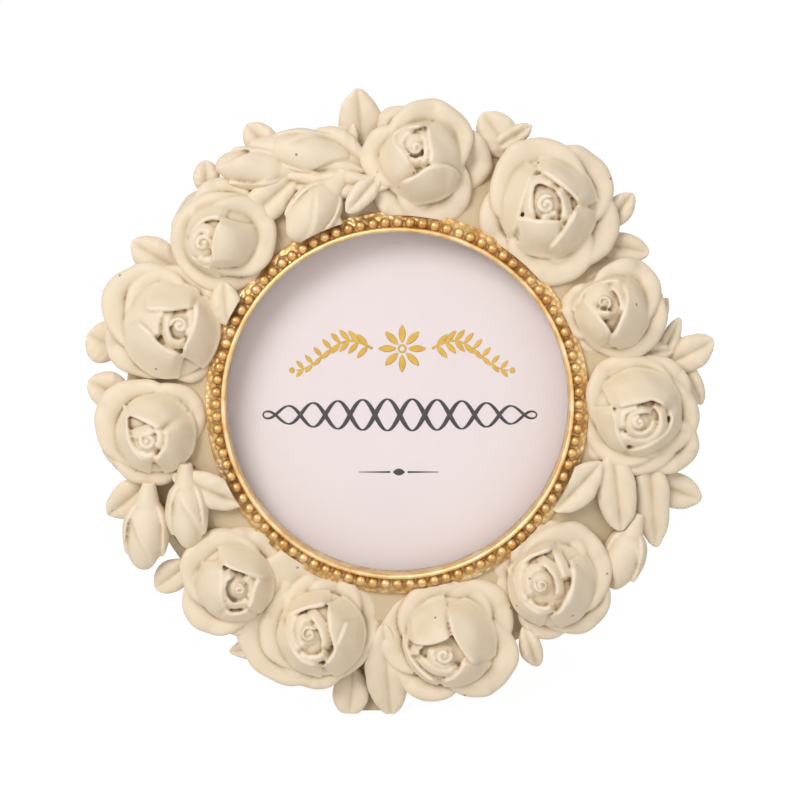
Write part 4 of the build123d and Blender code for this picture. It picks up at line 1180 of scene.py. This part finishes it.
class Nodes:
    """A short way to write shader nodes."""

    def __init__(self, tree: bpy.types.NodeTree) -> None:
        """Starts writing into a node tree."""
        self.tree = tree

    def feed(self, node: bpy.types.Node, inputs: dict[int | str, Feed]) -> None:
        """Fills a node's inputs.

        Args:
            node: The node.
            inputs: Values or sockets by input name or index.
        """
        for key, value in inputs.items():
            if isinstance(value, bpy.types.NodeSocket):
                self.tree.links.new(value, node.inputs[key])
            else:
                node.inputs[key].default_value = value

    def add(self, kind: str, label: str = "", inputs: dict[int | str, Feed] | None = None,
            **settings: object) -> bpy.types.Node:
        """Adds one node.

        Args:
            kind: The node's type.
            label: What the node is for.
            inputs: Values or sockets by input name or index.
            settings: The node's own settings.

        Returns:
            The node.
        """
        node = self.tree.nodes.new(kind)
        node.label = label
        for key, value in settings.items():
            setattr(node, key, value)
        self.feed(node, inputs or {})
        return node

    def noise(self, label: str, places: Socket, scale: float, detail: float) -> Socket:
        """Adds a soft cloud over the places and gives its value."""
        inputs = {"Vector": places, "Scale": scale, "Detail": detail}
        return self.add("ShaderNodeTexNoise", label, inputs).outputs[0]

    def cells(self, label: str, places: Socket, scale: float) -> Socket:
        """Adds cells over the places and gives the distance to the nearest cell's middle."""
        return self.add("ShaderNodeTexVoronoi", label, {"Vector": places, "Scale": scale}).outputs["Distance"]

    def measure(self, name: str) -> Socket:
        """Reads one of the mesh's own measures by its name."""
        return self.add("ShaderNodeAttribute", name, attribute_name=name).outputs["Fac"]

    def bump(self, label: str, height: Socket, strength: Feed, distance: float,
             invert: bool = False) -> Socket:
        """Adds relief and gives its normal.

        Args:
            label: What the relief is.
            height: The height's socket.
            strength: How strong it is.
            distance: How deep it is, in metres.
            invert: Whether high values lie deep.

        Returns:
            The normal's socket.
        """
        inputs = {"Height": height, "Strength": strength, "Distance": distance}
        return self.add("ShaderNodeBump", label, inputs, invert=invert).outputs[0]

    def ramp(self, label: str, source: Socket, stops: Iterable[tuple[float, Colour]]) -> Socket:
        """Adds a colour ramp.

        Args:
            label: What the ramp is for.
            source: The value to look up.
            stops: Positions and colours.

        Returns:
            The colour's socket.
        """
        node = self.add("ShaderNodeValToRGB", label, {0: source})
        elements = node.color_ramp.elements
        stops = list(stops)
        while len(elements) < len(stops):
            elements.new(0.5)
        for element, (position, colour) in zip(elements, stops):
            element.position = position
            element.color = colour
        return node.outputs[0]

    def spread(self, label: str, value: Socket, source: tuple[float, float], target: tuple[Feed, Feed],
               way: Way = Way.EVEN) -> Socket:
        """Lays a value's range over another.

        Args:
            label: What the result is.
            value: The value's socket.
            source: The value's two ends.
            target: What the result is at these ends.
            way: How it goes between them.

        Returns:
            The result's socket.
        """
        inputs = dict(enumerate((value, *source, *target)))
        return self.add("ShaderNodeMapRange", label, inputs, interpolation_type=way.value).outputs[0]

    def mix(self, label: str, share: Socket, first: Feed, second: Feed) -> Socket:
        """Mixes two colours by the share of the second."""
        inputs = {0: share, 6: first, 7: second}
        return self.add("ShaderNodeMix", label, inputs, data_type="RGBA").outputs[2]

    def math(self, label: str, operation: str, *values: Feed) -> Socket:
        """Adds a math node over its values and gives its result."""
        return self.add("ShaderNodeMath", label, dict(enumerate(values)), operation=operation).outputs[0]


class Recipe:
    """A new material with its node writer and its shader."""

    def __init__(self, name: str) -> None:
        """Starts the material of this name."""
        self.material = bpy.data.materials.new(name)
        self.material.use_nodes = True
        self.nodes = Nodes(self.material.node_tree)
        self.shader = self.material.node_tree.nodes["Principled BSDF"]

    @cached_property
    def places(self) -> Socket:
        """The object's own coordinates."""
        return self.nodes.add("ShaderNodeTexCoord", "places").outputs["Object"]

    def done(self, inputs: dict[int | str, Feed]) -> bpy.types.Material:
        """Fills the shader's inputs and gives the material."""
        self.nodes.feed(self.shader, inputs)
        return self.material


@dataclass(frozen=True)
class HollowWashAndShade:
    """The shared group that lays a wash and painted shade into hollows, a painted highlight on edges, and
    base colour elsewhere.
    """

    cloud_scale: float = 170.0
    speck_scale: float = 900.0
    # How much the hollow, the crease and the cloud count, and what is taken off them
    hollow_weight: float = 0.85
    crease_weight: float = 0.35
    cloud_weight: float = 0.35
    offset: float = -0.22
    # The greatest shares of the mottle, the painted shade tint and the painted edge highlight
    mottle: float = 0.10
    shade_tint_share: float = 0.85
    edge_highlight_share: float = 0.60
    # Over which sums the wash, with its painted shade, and the painted shade tint come in, and over which
    # crease the painted edge highlight does
    wash_and_shade_span: tuple[float, float] = (0.30, 1.15)
    shade_tint_span: tuple[float, float] = (-0.25, 0.60)
    edge_highlight_span: tuple[float, float] = (-0.15, -0.80)

    def make(self) -> bpy.types.NodeTree:
        """Makes the group.

        The hollow, the crease and an uneven cloud add up. By that sum the mottled base first takes
        the painted shade tint and at last the brown wash, which paints shade into the deepest hollows
        too. Raised edges get a painted highlight in between.

        Returns:
            The group, from four colours, the two measures and the coordinates to one colour.
        """
        tree = bpy.data.node_groups.new("hollow_wash_and_shade", "ShaderNodeTree")
        for name in ("Base", "WashAndShade", "Tint", "EdgeHighlight"):
            tree.interface.new_socket(name=name, in_out="INPUT", socket_type="NodeSocketColor")
        for name in ("Crease", "Hollow"):
            tree.interface.new_socket(name=name, in_out="INPUT", socket_type="NodeSocketFloat")
        tree.interface.new_socket(name="Coordinates", in_out="INPUT", socket_type="NodeSocketVector")
        tree.interface.new_socket(name="Color", in_out="OUTPUT", socket_type="NodeSocketColor")
        nodes = Nodes(tree)
        entry = nodes.add("NodeGroupInput").outputs
        crease, hollow, places = entry["Crease"], entry["Hollow"], entry["Coordinates"]
        cloud = nodes.noise("uneven wiping", places, self.cloud_scale, 4.0)
        speck = nodes.noise("fine mottle", places, self.speck_scale, 3.0)
        deep = nodes.math("deep part", "MULTIPLY", hollow, self.hollow_weight)
        fine = nodes.math("fine part", "MULTIPLY", crease, self.crease_weight)
        both = nodes.math("both parts", "ADD", deep, fine)
        uneven = nodes.math("unevenness", "MULTIPLY_ADD", cloud, self.cloud_weight, self.offset)
        total = nodes.math("uneven parts", "ADD", both, uneven)
        # The brown wash, which also paints shade into the deepest hollows
        wash_and_shade = nodes.spread("wash share", total, self.wash_and_shade_span, (0.0, 1.0), Way.SOFT)
        # Painted shade: an olive tint over the hollows
        shade_tint = nodes.spread("tint share", total, self.shade_tint_span, (0.0, self.shade_tint_share), Way.SOFT)
        # Painted highlight along raised edges
        edge_highlight = nodes.spread("rubbed edges", crease, self.edge_highlight_span, (0.0, self.edge_highlight_share), Way.SOFT)
        mottle = nodes.math("mottle share", "MULTIPLY", speck, self.mottle)
        colour = nodes.mix("mottled base", mottle, entry["Base"], entry["Tint"])
        colour = nodes.mix("shade_tinted base", shade_tint, colour, entry["Tint"])
        colour = nodes.mix("highlighted", edge_highlight, colour, entry["EdgeHighlight"])
        colour = nodes.mix("washed_and_shaded", wash_and_shade, colour, entry["WashAndShade"])
        nodes.add("NodeGroupOutput", inputs={"Color": colour})
        return tree


# How deep the reliefs of the paints and of the mottled finishes go, in metres
GRAIN_DEPTH = 0.0004
MOTTLE_DEPTH = 0.0003


@dataclass(frozen=True)
class CastPaint:
    """Ivory satin paint, with a brown wash and painted shade in hollows, painted edge highlights and
    pinholes.
    """

    name: str
    base: Colour
    # Brown of the wash and of the pinholes; laid into hollows, it is partly painted shade
    wash_and_shade: Colour = srgb(122, 98, 66)
    # Second tone of the mottle, and the painted shade tint in hollows
    shade_tint: Colour = srgb(200, 181, 149)
    # Painted highlight on raised edges
    edge_highlight: Colour = srgb(241, 226, 208)
    # Pinholes per metre, and the shares of a cell over which one fades
    pinhole_scale: float = 140.0
    pinhole_span: tuple[float, float] = (0.030, 0.055)
    pinhole_share: float = 0.8
    grain_scale: float = 700.0
    relief: float = 0.12
    roughness: float = 0.52
    specular: float = 0.35

    def make(self, group: bpy.types.NodeTree) -> bpy.types.Material:
        """Makes the paint.

        Args:
            group: The shared group that lays the wash, the painted shade and the painted highlight.

        Returns:
            The material.
        """
        recipe = Recipe(self.name)
        nodes, places = recipe.nodes, recipe.places
        inputs = {
            "Base": self.base, "WashAndShade": self.wash_and_shade, "Tint": self.shade_tint, "EdgeHighlight": self.edge_highlight,
            "Crease": nodes.measure("crease"), "Hollow": nodes.measure("hollow"), "Coordinates": places,
        }
        washed_and_shaded = nodes.add("ShaderNodeGroup", "wash in hollows", inputs, node_tree=group).outputs["Color"]
        holes = nodes.cells("pinholes", places, self.pinhole_scale)
        pits = nodes.spread("pinhole share", holes, self.pinhole_span, (self.pinhole_share, 0.0))
        grain = nodes.noise("paint grain", places, self.grain_scale, 4.0)
        return recipe.done({
            "Base Color": nodes.mix("paint and pinholes", pits, washed_and_shaded, self.wash_and_shade),
            "Normal": nodes.bump("paint relief", grain, self.relief, GRAIN_DEPTH),
            "Roughness": self.roughness,
            "Specular IOR Level": self.specular,
        })


@dataclass(frozen=True)
class GoldPaint:
    """Gold paint in three tones over a more or less grainy ground, with painted shade between the grains."""

    name: str
    tones: tuple[Colour, Colour, Colour]
    grain: float
    relief: float
    roughness: float
    stops: tuple[float, float, float] = (0.30, 0.52, 0.75)
    wear_scale: float = 260.0
    # Painted shade laid into the gaps between the grains
    gap_shade: Colour = srgb(164, 116, 58)
    gap_shade_span: tuple[float, float] = (0.35, 0.8)
    metallic: float = 0.75

    def make(self) -> bpy.types.Material:
        """Makes the paint: tones that wear unevenly, painted shade between the grains, and a relief that
        follows the ground.

        Returns:
            The material.
        """
        recipe = Recipe(self.name)
        nodes, places = recipe.nodes, recipe.places
        grains = nodes.cells("grains", places, self.grain)
        relief = nodes.math("relief share", "MULTIPLY", nodes.measure("rough"), self.relief)
        wear = nodes.noise("wear", places, self.wear_scale, 3.0)
        colour = nodes.ramp("gold shades", wear, zip(self.stops, self.tones))
        # Painted shade: the gaps between the grains darken as far as their relief goes
        gap_shade = nodes.spread("grain gaps", grains, self.gap_shade_span, (0.0, relief))
        return recipe.done({
            "Base Color": nodes.mix("gaps darkened", gap_shade, colour, self.gap_shade),
            "Normal": nodes.bump("grain relief", grains, relief, GRAIN_DEPTH, invert=True),
            "Metallic": self.metallic,
            "Roughness": self.roughness,
        })


@dataclass(frozen=True)
class Mottled:
    """A finish of two mottled colours: card, ink, board, pile or plating."""

    name: str
    colours: tuple[Colour, Colour]
    scale: float
    roughness: float
    metallic: float = 0.0
    relief: float = 0.0
    sheen: float = 0.0
    stops: tuple[float, float] = (0.3, 0.7)

    def make(self) -> bpy.types.Material:
        """Makes the finish, with relief only where it has any.

        Returns:
            The material.
        """
        recipe = Recipe(self.name)
        cloud = recipe.nodes.noise("mottle", recipe.places, self.scale, 5.0)
        if self.relief:
            recipe.done({"Normal": recipe.nodes.bump("relief", cloud, self.relief, MOTTLE_DEPTH)})
        return recipe.done({
            "Base Color": recipe.nodes.ramp("mottled colours", cloud, zip(self.stops, self.colours)),
            "Roughness": self.roughness,
            "Metallic": self.metallic,
            "Sheen Weight": self.sheen,
        })


@dataclass(frozen=True)
class ClearGlass:
    """Thin clear glass that hardly veils what lies behind it."""

    name: str = "clear_glass"
    colour: Colour = srgb(244, 246, 246)
    haze: tuple[float, float] = (0.010, 0.025)
    haze_scale: float = 30.0
    roughness: float = 0.05

    def make(self) -> bpy.types.Material:
        """Makes the glass: a faint uneven haze is all that it shows.

        Returns:
            The material.
        """
        recipe = Recipe(self.name)
        cloud = recipe.nodes.noise("faint haze", recipe.places, self.haze_scale, 2.0)
        haze = recipe.nodes.spread("haze share", cloud, (0.0, 1.0), self.haze)
        return recipe.done({"Alpha": haze, "Base Color": self.colour, "Roughness": self.roughness})


def dress(piece: bpy.types.Object, finish: bpy.types.Material, slot: Slot, body: str | None = None,
          node: str | None = None) -> None:
    """Gives a piece its finish, and reports it.

    Args:
        piece: The piece.
        finish: Its finish.
        slot: Its material slot; not used.
        body: The body that a new piece rides on, or None for a CAD node.
        node: The CAD node that the piece replaces, if any.
    """
    piece.data.materials.clear()
    piece.data.materials.append(finish)
    if body:
        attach(piece, body)
    if node:
        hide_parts(node)
    LOG.info("%s: %s, %d faces", piece.name, finish.name, len(piece.data.polygons))


@dataclass(frozen=True)
class Wreath:
    """The cast ring with its roses, buds and sprays of leaves."""

    casting: Casting
    # The group that lays the wash with painted shade and the painted edge highlight
    wash_and_shade: HollowWashAndShade = HollowWashAndShade()
    flowers: CastPaint = CastPaint("ivory_resin", srgb(230, 213, 187))
    # The ring is painted a darker tan, on its back as well, that stands for the shade between the flowers
    ground: CastPaint = CastPaint("shade_darkened_resin", srgb(206, 186, 152))

    def shells(self) -> Iterator[tuple[str, Shell]]:
        """Shapes every rose, bud and spray, in the order of the random draws.

        Yields:
            The CAD node's name and the surfaces that take its place.
        """
        rng = np.random.default_rng(SEED)
        for flower in (*ROSES, *BUDS):
            yield flower.name, flower.shell(rng)
        for name, rows in LEAVES.items():
            spray = Shell()
            for row in rows:
                Leaf(*row).add_to(spray, rng)
            yield name, spray

    def build(self, ring: bpy.types.Object) -> None:
        """Casts and paints the flowers and leaves, and paints the ring between them darker, as painted shade.

        Args:
            ring: The CAD ring.
        """
        wash_and_shade = self.wash_and_shade.make()
        paint = self.flowers.make(wash_and_shade)
        for name, shell in self.shells():
            dress(self.casting.fuse(shell, f"{name}_cast"), paint, Slot.RESIN, FRAME_BODY, name)
        dress(ring, self.ground.make(wash_and_shade), Slot.RESIN)


@dataclass(frozen=True)
class Rim:
    """The gold band and lip, the row of beads and the glass, in millimetres."""

    face: FaceFrame
    sight_radius: float = 36.5
    lip_radius: float = 37.5
    lip_height: float = 13.0
    rebate: float = 6.5
    band_radius: float = 40.8
    band_seat: float = 9.0
    band_top: float = 11.2
    band_bevel: float = 0.15
    lip_gap: float = 0.1
    # How grainy the band and the lip are
    rough: tuple[float, float] = (1.0, 0.15)
    bead_radius: float = 1.12
    bead_count: int = 92
    bead_orbit: float = 38.6
    bead_sink: float = 0.55
    pane_radius: float = 38.9
    pane_flat: float = 38.8
    pane_inner: float = 30.0
    # The pane is a hair thinner than its seat, so that the card shows cleanly through it
    pane_back: tuple[float, float] = (4.64, 4.72)
    pane_front: tuple[float, float] = (6.46, 6.40)
    band_paint: GoldPaint = GoldPaint(
        "grained_gold", (srgb(214, 170, 104), srgb(238, 204, 146), srgb(252, 234, 194)), 900.0, 0.6, 0.42
    )
    # The beads take darker tones than the band: painted shade for their recess under the petals
    bead_paint: GoldPaint = GoldPaint(
        "shade_darkened_bead_gold", (srgb(194, 144, 82), srgb(222, 180, 120), srgb(246, 220, 172)), 500.0, 0.12, 0.30
    )
    glass: ClearGlass = ClearGlass()

    def band(self) -> bpy.types.Object:
        """Turns the rim's profile round the opening: a grainy flat band and a nearly smooth round lip.

        Returns:
            The piece.
        """
        half = (self.lip_radius - self.sight_radius) / 2
        bend = np.linspace(0, math.pi, 9)
        radius = self.sight_radius + half - half * np.cos(bend[::-1])
        lip = np.stack([radius, self.lip_height - half + half * np.sin(bend)], -1)
        profile = [
            [self.sight_radius, self.rebate],
            [self.lip_radius, self.rebate],
            [self.lip_radius, self.band_seat],
            [self.band_radius, self.band_seat],
            [self.band_radius, self.band_top - self.band_bevel],
            [self.band_radius - self.band_bevel, self.band_top],
            [self.lip_radius + self.lip_gap, self.band_top],
        ]
        turns = 360
        shell = Shell()
        shell.hoop(turned(np.concatenate([profile, lip]), turns).swapaxes(0, 1))
        made = shell.object("gilt_rim_gold", self.face)
        rough = np.tile(np.repeat(self.rough, (len(profile), len(lip))), turns)
        layer = made.data.attributes.new("rough", "FLOAT", "POINT")
        layer.data.foreach_set("value", rough.astype(np.float32))
        return made

    def beads(self) -> bpy.types.Object:
        """Places the beads as small balls round the band.

        Returns:
            The piece.
        """
        shell = Shell()
        polar = np.linspace(0.12, math.pi - 0.12, 13)
        ball = self.bead_radius * turned(np.stack([np.sin(polar), np.cos(polar)], -1), 20)
        pole = self.bead_radius * UPRIGHT
        level = self.band_top + self.bead_radius - self.bead_sink
        for turn in circle(self.bead_count):
            place = np.array([*(self.bead_orbit * heading(turn)), level])
            shell.loops(ball + place, place + pole, place - pole)
        return shell.object("rim_beads_gold", self.face)

    def pane(self) -> bpy.types.Object:
        """Turns the glass's profile, with small bevels.

        Returns:
            The piece.
        """
        (back, back_edge), (front, front_edge) = self.pane_back, self.pane_front
        profile = [
            [self.pane_inner, back], [self.pane_flat, back], [self.pane_radius, back_edge],
            [self.pane_radius, front_edge], [self.pane_flat, front], [self.pane_inner, front],
        ]
        shell = Shell()
        shell.loops(turned(profile, 180), [0, 0, back], [0, 0, front])
        return shell.object("glass_pane", self.face)

    def build(self) -> None:
        """Builds and dresses the band, the beads and the glass."""
        dress(self.band(), self.band_paint.make(), Slot.GILDING, FRAME_BODY, "gilt_rim")
        dress(self.beads(), self.bead_paint.make(), Slot.GILDING, FRAME_BODY, "rim_beads")
        dress(self.pane(), self.glass.make(), Slot.GLASS, FRAME_BODY, "glass")


@dataclass(frozen=True)
class Insert:
    """The card behind the glass and its print: a rosette between sprigs, a dark braid and a rule.

    Places are millimetres across and up. A half width is followed by how much it loses or gains.
    """

    face: FaceFrame
    level: float = INSERT_TOP + 0.05
    film: float = 0.02
    rosette: tuple[float, float] = (1.0, 11.3)
    petal_count: int = 8
    petal_foot: float = 1.2
    petal_size: tuple[float, float] = (4.0, 0.75)
    ring_size: tuple[float, float] = (0.75, 0.22)
    stem_start: float = 6.4
    stem_length: float = 16.4
    stem_wave: float = 2.4
    stem_turns: float = 1.55
    stem_fall: float = 2.3
    stem_half: tuple[float, float] = (0.28, 0.16)
    leaf_pairs: int = 8
    leaf_lean: float = 48.0
    leaf_length: tuple[float, float] = (3.6, 1.3)
    leaf_half: tuple[float, float] = (0.62, 0.2)
    berry_gap: float = 0.9
    berry_size: tuple[float, float] = (0.35, 0.28)
    braid: tuple[float, float] = (0.5, -3.0)
    braid_reach: float = 29.5
    braid_wave: float = 3.4
    braid_turns: float = 5.5
    braid_half: tuple[float, float] = (0.16, 0.34)
    rule: tuple[float, float] = (0.3, -15.4)
    rule_ends: tuple[float, float] = (1.9, 8.6)
    rule_half: tuple[float, float] = (0.20, 0.07)
    lozenge_foot: float = -1.0
    lozenge_size: tuple[float, float] = (2.6, 0.75)
    card: Mottled = Mottled("pale_card", (srgb(231, 219, 220), srgb(233, 222, 222)), 60.0, 0.8)
    gold_ink: Mottled = Mottled("gold_ink", (srgb(206, 160, 46), srgb(226, 182, 66)), 300.0, 0.5)
    dark_ink: Mottled = Mottled("dark_ink", (srgb(38, 32, 34), srgb(52, 44, 46)), 300.0, 0.6)

    def _line(self, shell: Shell, places: np.ndarray, half: np.ndarray | float) -> None:
        """Adds a flat printed line.

        Args:
            shell: The print's surfaces.
            places: Places across and up.
            half: The half width, or one for each place.
        """
        path = np.concatenate([places, np.full((len(places), 1), self.level)], 1)
        side = np.cross(unit(np.gradient(path, axis=0)), UPRIGHT)
        shell.rod(path, side, UPRIGHT, half, self.film, 8)

    def _blade(self, shell: Shell, foot: np.ndarray, angle: float, length: float, half: float) -> None:
        """Adds a pointed printed leaf, whose half width follows sin(pi * s) to a power.

        Args:
            shell: The print's surfaces.
            foot: Its foot across and up.
            angle: Its direction in radians.
            length: Its length.
            half: Its half width.
        """
        run = np.linspace(0.02, 0.98, 12)
        self._line(shell, foot + run[:, None] * length * heading(angle), half * np.sin(math.pi * run) ** 0.8)

    def _ring(self, shell: Shell, centre: np.ndarray, radius: float, half: float) -> None:
        """Adds a printed ring round a centre."""
        turn = np.linspace(0, FULL_TURN, 40)
        self._line(shell, centre + radius * np.stack([np.cos(turn), np.sin(turn)], -1), half)

    def _sprig(self, shell: Shell, sense: int) -> None:
        """Adds a waving stem with pairs of leaves and a berry at its end.

        Args:
            shell: The print's surfaces.
            sense: 1 for the right one and -1 for the left one.
        """
        middle = np.array(self.rosette)
        run = np.linspace(0, 1, 40)
        wave = self.stem_wave * np.sin(run * math.pi * self.stem_turns) - self.stem_fall * run
        stem = np.stack([sense * (self.stem_start + self.stem_length * run), wave], -1)
        self._line(shell, middle + stem, self.stem_half[0] - self.stem_half[1] * run)
        for share in np.linspace(0.06, 0.9, self.leaf_pairs):
            foot = middle + [np.interp(share, run, stem[:, 0]), np.interp(share, run, stem[:, 1])]
            length = self.leaf_length[0] - self.leaf_length[1] * share
            half = self.leaf_half[0] - self.leaf_half[1] * share
            for lean in (self.leaf_lean, -self.leaf_lean):
                angle = math.radians(lean if sense > 0 else 180 - lean)
                self._blade(shell, foot, angle, length, half)
        self._ring(shell, middle + stem[-1] + [sense * self.berry_gap, 0.0], *self.berry_size)

    def gold(self) -> bpy.types.Object:
        """Prints the rosette and a sprig on either side.

        Returns:
            The piece.
        """
        shell = Shell()
        middle = np.array(self.rosette)
        for turn in circle(self.petal_count):
            self._blade(shell, middle + self.petal_foot * heading(turn), turn, *self.petal_size)
        self._ring(shell, middle, *self.ring_size)
        for sense in (-1, 1):
            self._sprig(shell, sense)
        return shell.object("insert_gold_print", self.face)

    def dark(self) -> bpy.types.Object:
        """Prints the braid, two waves that taper to both ends, and the rule with its lozenge.

        Returns:
            The piece.
        """
        shell = Shell()
        run = np.linspace(-1, 1, 300)
        fade = np.cos(run * math.pi / 2) ** 0.45
        for phase in (0.0, math.pi):
            turn = run * math.pi * self.braid_turns + phase
            places = np.stack([self.braid_reach * run, self.braid_wave * fade * np.sin(turn)], -1)
            half = self.braid_half[0] + self.braid_half[1] * np.abs(np.cos(turn)) * fade
            self._line(shell, places + self.braid, half)
        rule = np.array(self.rule)
        for sense in (-1, 1):
            run = sense * np.linspace(*self.rule_ends, 12)[:, None]
            self._line(shell, rule + run * [1.0, 0.0], np.linspace(*self.rule_half, 12))
        self._blade(shell, np.array([self.lozenge_foot, self.rule[1]]), 0.0, *self.lozenge_size)
        return shell.object("insert_dark_print", self.face)

    def build(self, card: bpy.types.Object) -> None:
        """Dresses the card and prints on it.

        Args:
            card: The CAD insert.
        """
        dress(card, self.card.make(), Slot.CARD)
        dress(self.gold(), self.gold_ink.make(), Slot.CARD, FRAME_BODY)
        dress(self.dark(), self.dark_ink.make(), Slot.CARD, FRAME_BODY)


@dataclass(frozen=True)
class Back:
    """The boards, the easel strut and the hardware, which show their own CAD surfaces."""

    board: Mottled = Mottled("pressed_board", (srgb(128, 98, 66), srgb(152, 118, 80)), 900.0, 0.8, relief=0.2)
    velour: Mottled = Mottled(
        "velour", (srgb(150, 132, 108), srgb(172, 154, 130)), 1600.0, 0.95, relief=0.35, sheen=0.5
    )
    grey: Mottled = Mottled("grey_card", (srgb(140, 134, 126), srgb(158, 152, 142)), 500.0, 0.85)
    steel: Mottled = Mottled(
        "plated_steel", (srgb(190, 160, 96), srgb(214, 186, 122)), 200.0, 0.32, metallic=1.0
    )
    metal_starts: tuple[str, ...] = ("hinge", "turn_button")

    def build(self, nodes: dict[str, bpy.types.Object]) -> None:
        """Dresses the pieces.

        Args:
            nodes: The CAD nodes by name.
        """
        metal = [name for name in nodes if name.startswith(self.metal_starts) or name.endswith("rivets")]
        for finish, slot, names in (
            (self.board, Slot.BOARD, ("back_board", "strut_board")),
            (self.velour, Slot.VELOUR, ("board_velour", "strut_velour")),
            (self.grey, Slot.BACKING, ("backing_card",)),
            (self.steel, Slot.STEEL, metal),
        ):
            material = finish.make()
            for name in names:
                dress(nodes[name], material, slot)


@dataclass(frozen=True)
class Lamp:
    """A soft square lamp: place and side in metres, power in watts, and linear red, green and blue."""

    name: str
    place: Place
    side: float
    power: float
    colour: tuple[float, float, float]


@dataclass(frozen=True)
class Studio:
    """The camera, the lights, the floor and the world."""

    face: FaceFrame
    # Millimetres from the insert's middle, and degrees above the face's own axis
    distance: float = 520.0
    tilt: float = 5.5
    lens: float = 108.67
    sensor: float = 36.0
    # Pixels across and up that the picture is shifted by, of its whole side
    shift: tuple[float, float] = (2.5, 1.0)
    picture: int = 800
    clip: tuple[float, float] = (0.01, 20.0)
    # What the lamps aim at, in metres
    target: Place = (0.0, 0.0, 0.065)
    lamps: tuple[Lamp, ...] = (
        Lamp("key", (-0.50, -0.75, 0.85), 0.55, 8.4, (1.0, 0.985, 0.965)),
        Lamp("fill", (0.70, -0.80, 0.35), 0.80, 1.3, (0.98, 0.985, 1.0)),
    )
    ambient: float = 0.47
    floor_radius: float = 3000.0
    floor_top: float = -0.4
    floor_bottom: float = -1.4
    floor_tone: Colour = (0.86, 0.86, 0.86, 1.0)
    floor_roughness: float = 0.9
    glow: float = 1.10
    glow_share: float = 0.86

    @staticmethod
    def aim(name: str, data: bpy.types.ID, place: ArrayLike, target: ArrayLike) -> bpy.types.Object:
        """Places a camera or a lamp and turns it to what it aims at.

        Args:
            name: Its name.
            data: The camera or the light.
            place: Its place in metres.
            target: What it aims at, in metres.

        Returns:
            The linked object.
        """
        made = bpy.data.objects.new(name, data)
        made.location = place
        made.rotation_mode = "QUATERNION"
        made.rotation_quaternion = Vector(np.subtract(target, place)).to_track_quat("-Z", "Y")
        bpy.context.scene.collection.objects.link(made)
        return made

    def camera(self) -> None:
        """Places the camera a little above the face's own axis, aimed at the insert's middle."""
        data = bpy.data.cameras.new("camera")
        data.lens = self.lens
        data.sensor_width = self.sensor
        data.shift_x, data.shift_y = (pixels / self.picture for pixels in self.shift)
        data.clip_start, data.clip_end = self.clip
        out, up = self.distance * heading(math.radians(self.tilt))
        middle, eye = self.face.world([[0.0, 0.0, INSERT_TOP], [0.0, up, INSERT_TOP + out]])
        bpy.context.scene.camera = self.aim("camera", data, eye, middle)

    def light(self) -> None:
        """Places the lamps, aimed at the frame."""
        for lamp in self.lamps:
            data = bpy.data.lights.new(lamp.name, "AREA")
            data.shape = "SQUARE"
            data.size = lamp.side
            data.energy = lamp.power
            data.color = lamp.colour
            self.aim(lamp.name, data, lamp.place, self.target)

    def world(self) -> None:
        """Lights the frame evenly and shows white behind it and in mirrored rays."""
        world = bpy.data.worlds.new("studio")
        world.use_nodes = True
        nodes = Nodes(world.node_tree)
        rays = nodes.add("ShaderNodeLightPath", "rays").outputs
        seen = nodes.math("seen straight", "MAXIMUM", rays["Is Camera Ray"], rays["Is Transmission Ray"])
        seen = nodes.math("seen or mirrored", "MAXIMUM", seen, rays["Is Glossy Ray"])
        strength = nodes.spread("strength", seen, (0.0, 1.0), (self.ambient, 1.0))
        nodes.feed(world.node_tree.nodes["Background"], {"Strength": strength, "Color": WHITE})
        bpy.context.scene.world = world

    def floor(self) -> None:
        """Lays a pale floor that shows white but keeps the frame's shadow."""
        shell = Shell()
        radius, top, bottom = self.floor_radius, self.floor_top, self.floor_bottom
        shell.loops(turned([[radius, top], [radius, bottom]], 48), [0, 0, top], [0, 0, bottom])
        made = shell.object("floor", FaceFrame.level())
        recipe = Recipe("pale_floor")
        nodes = recipe.nodes
        dull = {"Base Color": self.floor_tone, "Roughness": self.floor_roughness, "Specular IOR Level": 0.0}
        material = recipe.done(dull)
        rays = nodes.add("ShaderNodeLightPath", "rays").outputs
        glow = nodes.add("ShaderNodeEmission", "white ground", {"Color": WHITE, "Strength": self.glow})
        share = nodes.math("white share", "MULTIPLY", rays["Is Camera Ray"], self.glow_share)
        both = {0: share, 1: recipe.shader.outputs[0], 2: glow.outputs[0]}
        blend = nodes.add("ShaderNodeMixShader", "white and shadow", both)
        nodes.feed(material.node_tree.nodes["Material Output"], {"Surface": blend.outputs[0]})
        made.data.materials.append(material)

    def build(self) -> None:
        """Sets up everything that isn't the object."""
        self.camera()
        self.light()
        self.world()
        self.floor()
        bpy.context.scene.view_settings.view_transform = "Standard"
        LOG.info("studio: a camera, %d lamps, a world and a floor", len(self.lamps))


def main() -> None:
    """Loads the CAD frame, and builds its sub-assemblies and the studio in order."""
    logging.basicConfig(level=logging.INFO)
    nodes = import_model()["nodes"]
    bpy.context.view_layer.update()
    face = FaceFrame.from_glass()
    Wreath(Casting(face)).build(nodes["wreath_ring"])
    Rim(face).build()
    Insert(face).build(nodes["photo_insert"])
    Back().build(nodes)
    Studio(face).build()


if __name__ == "__main__":
    main()
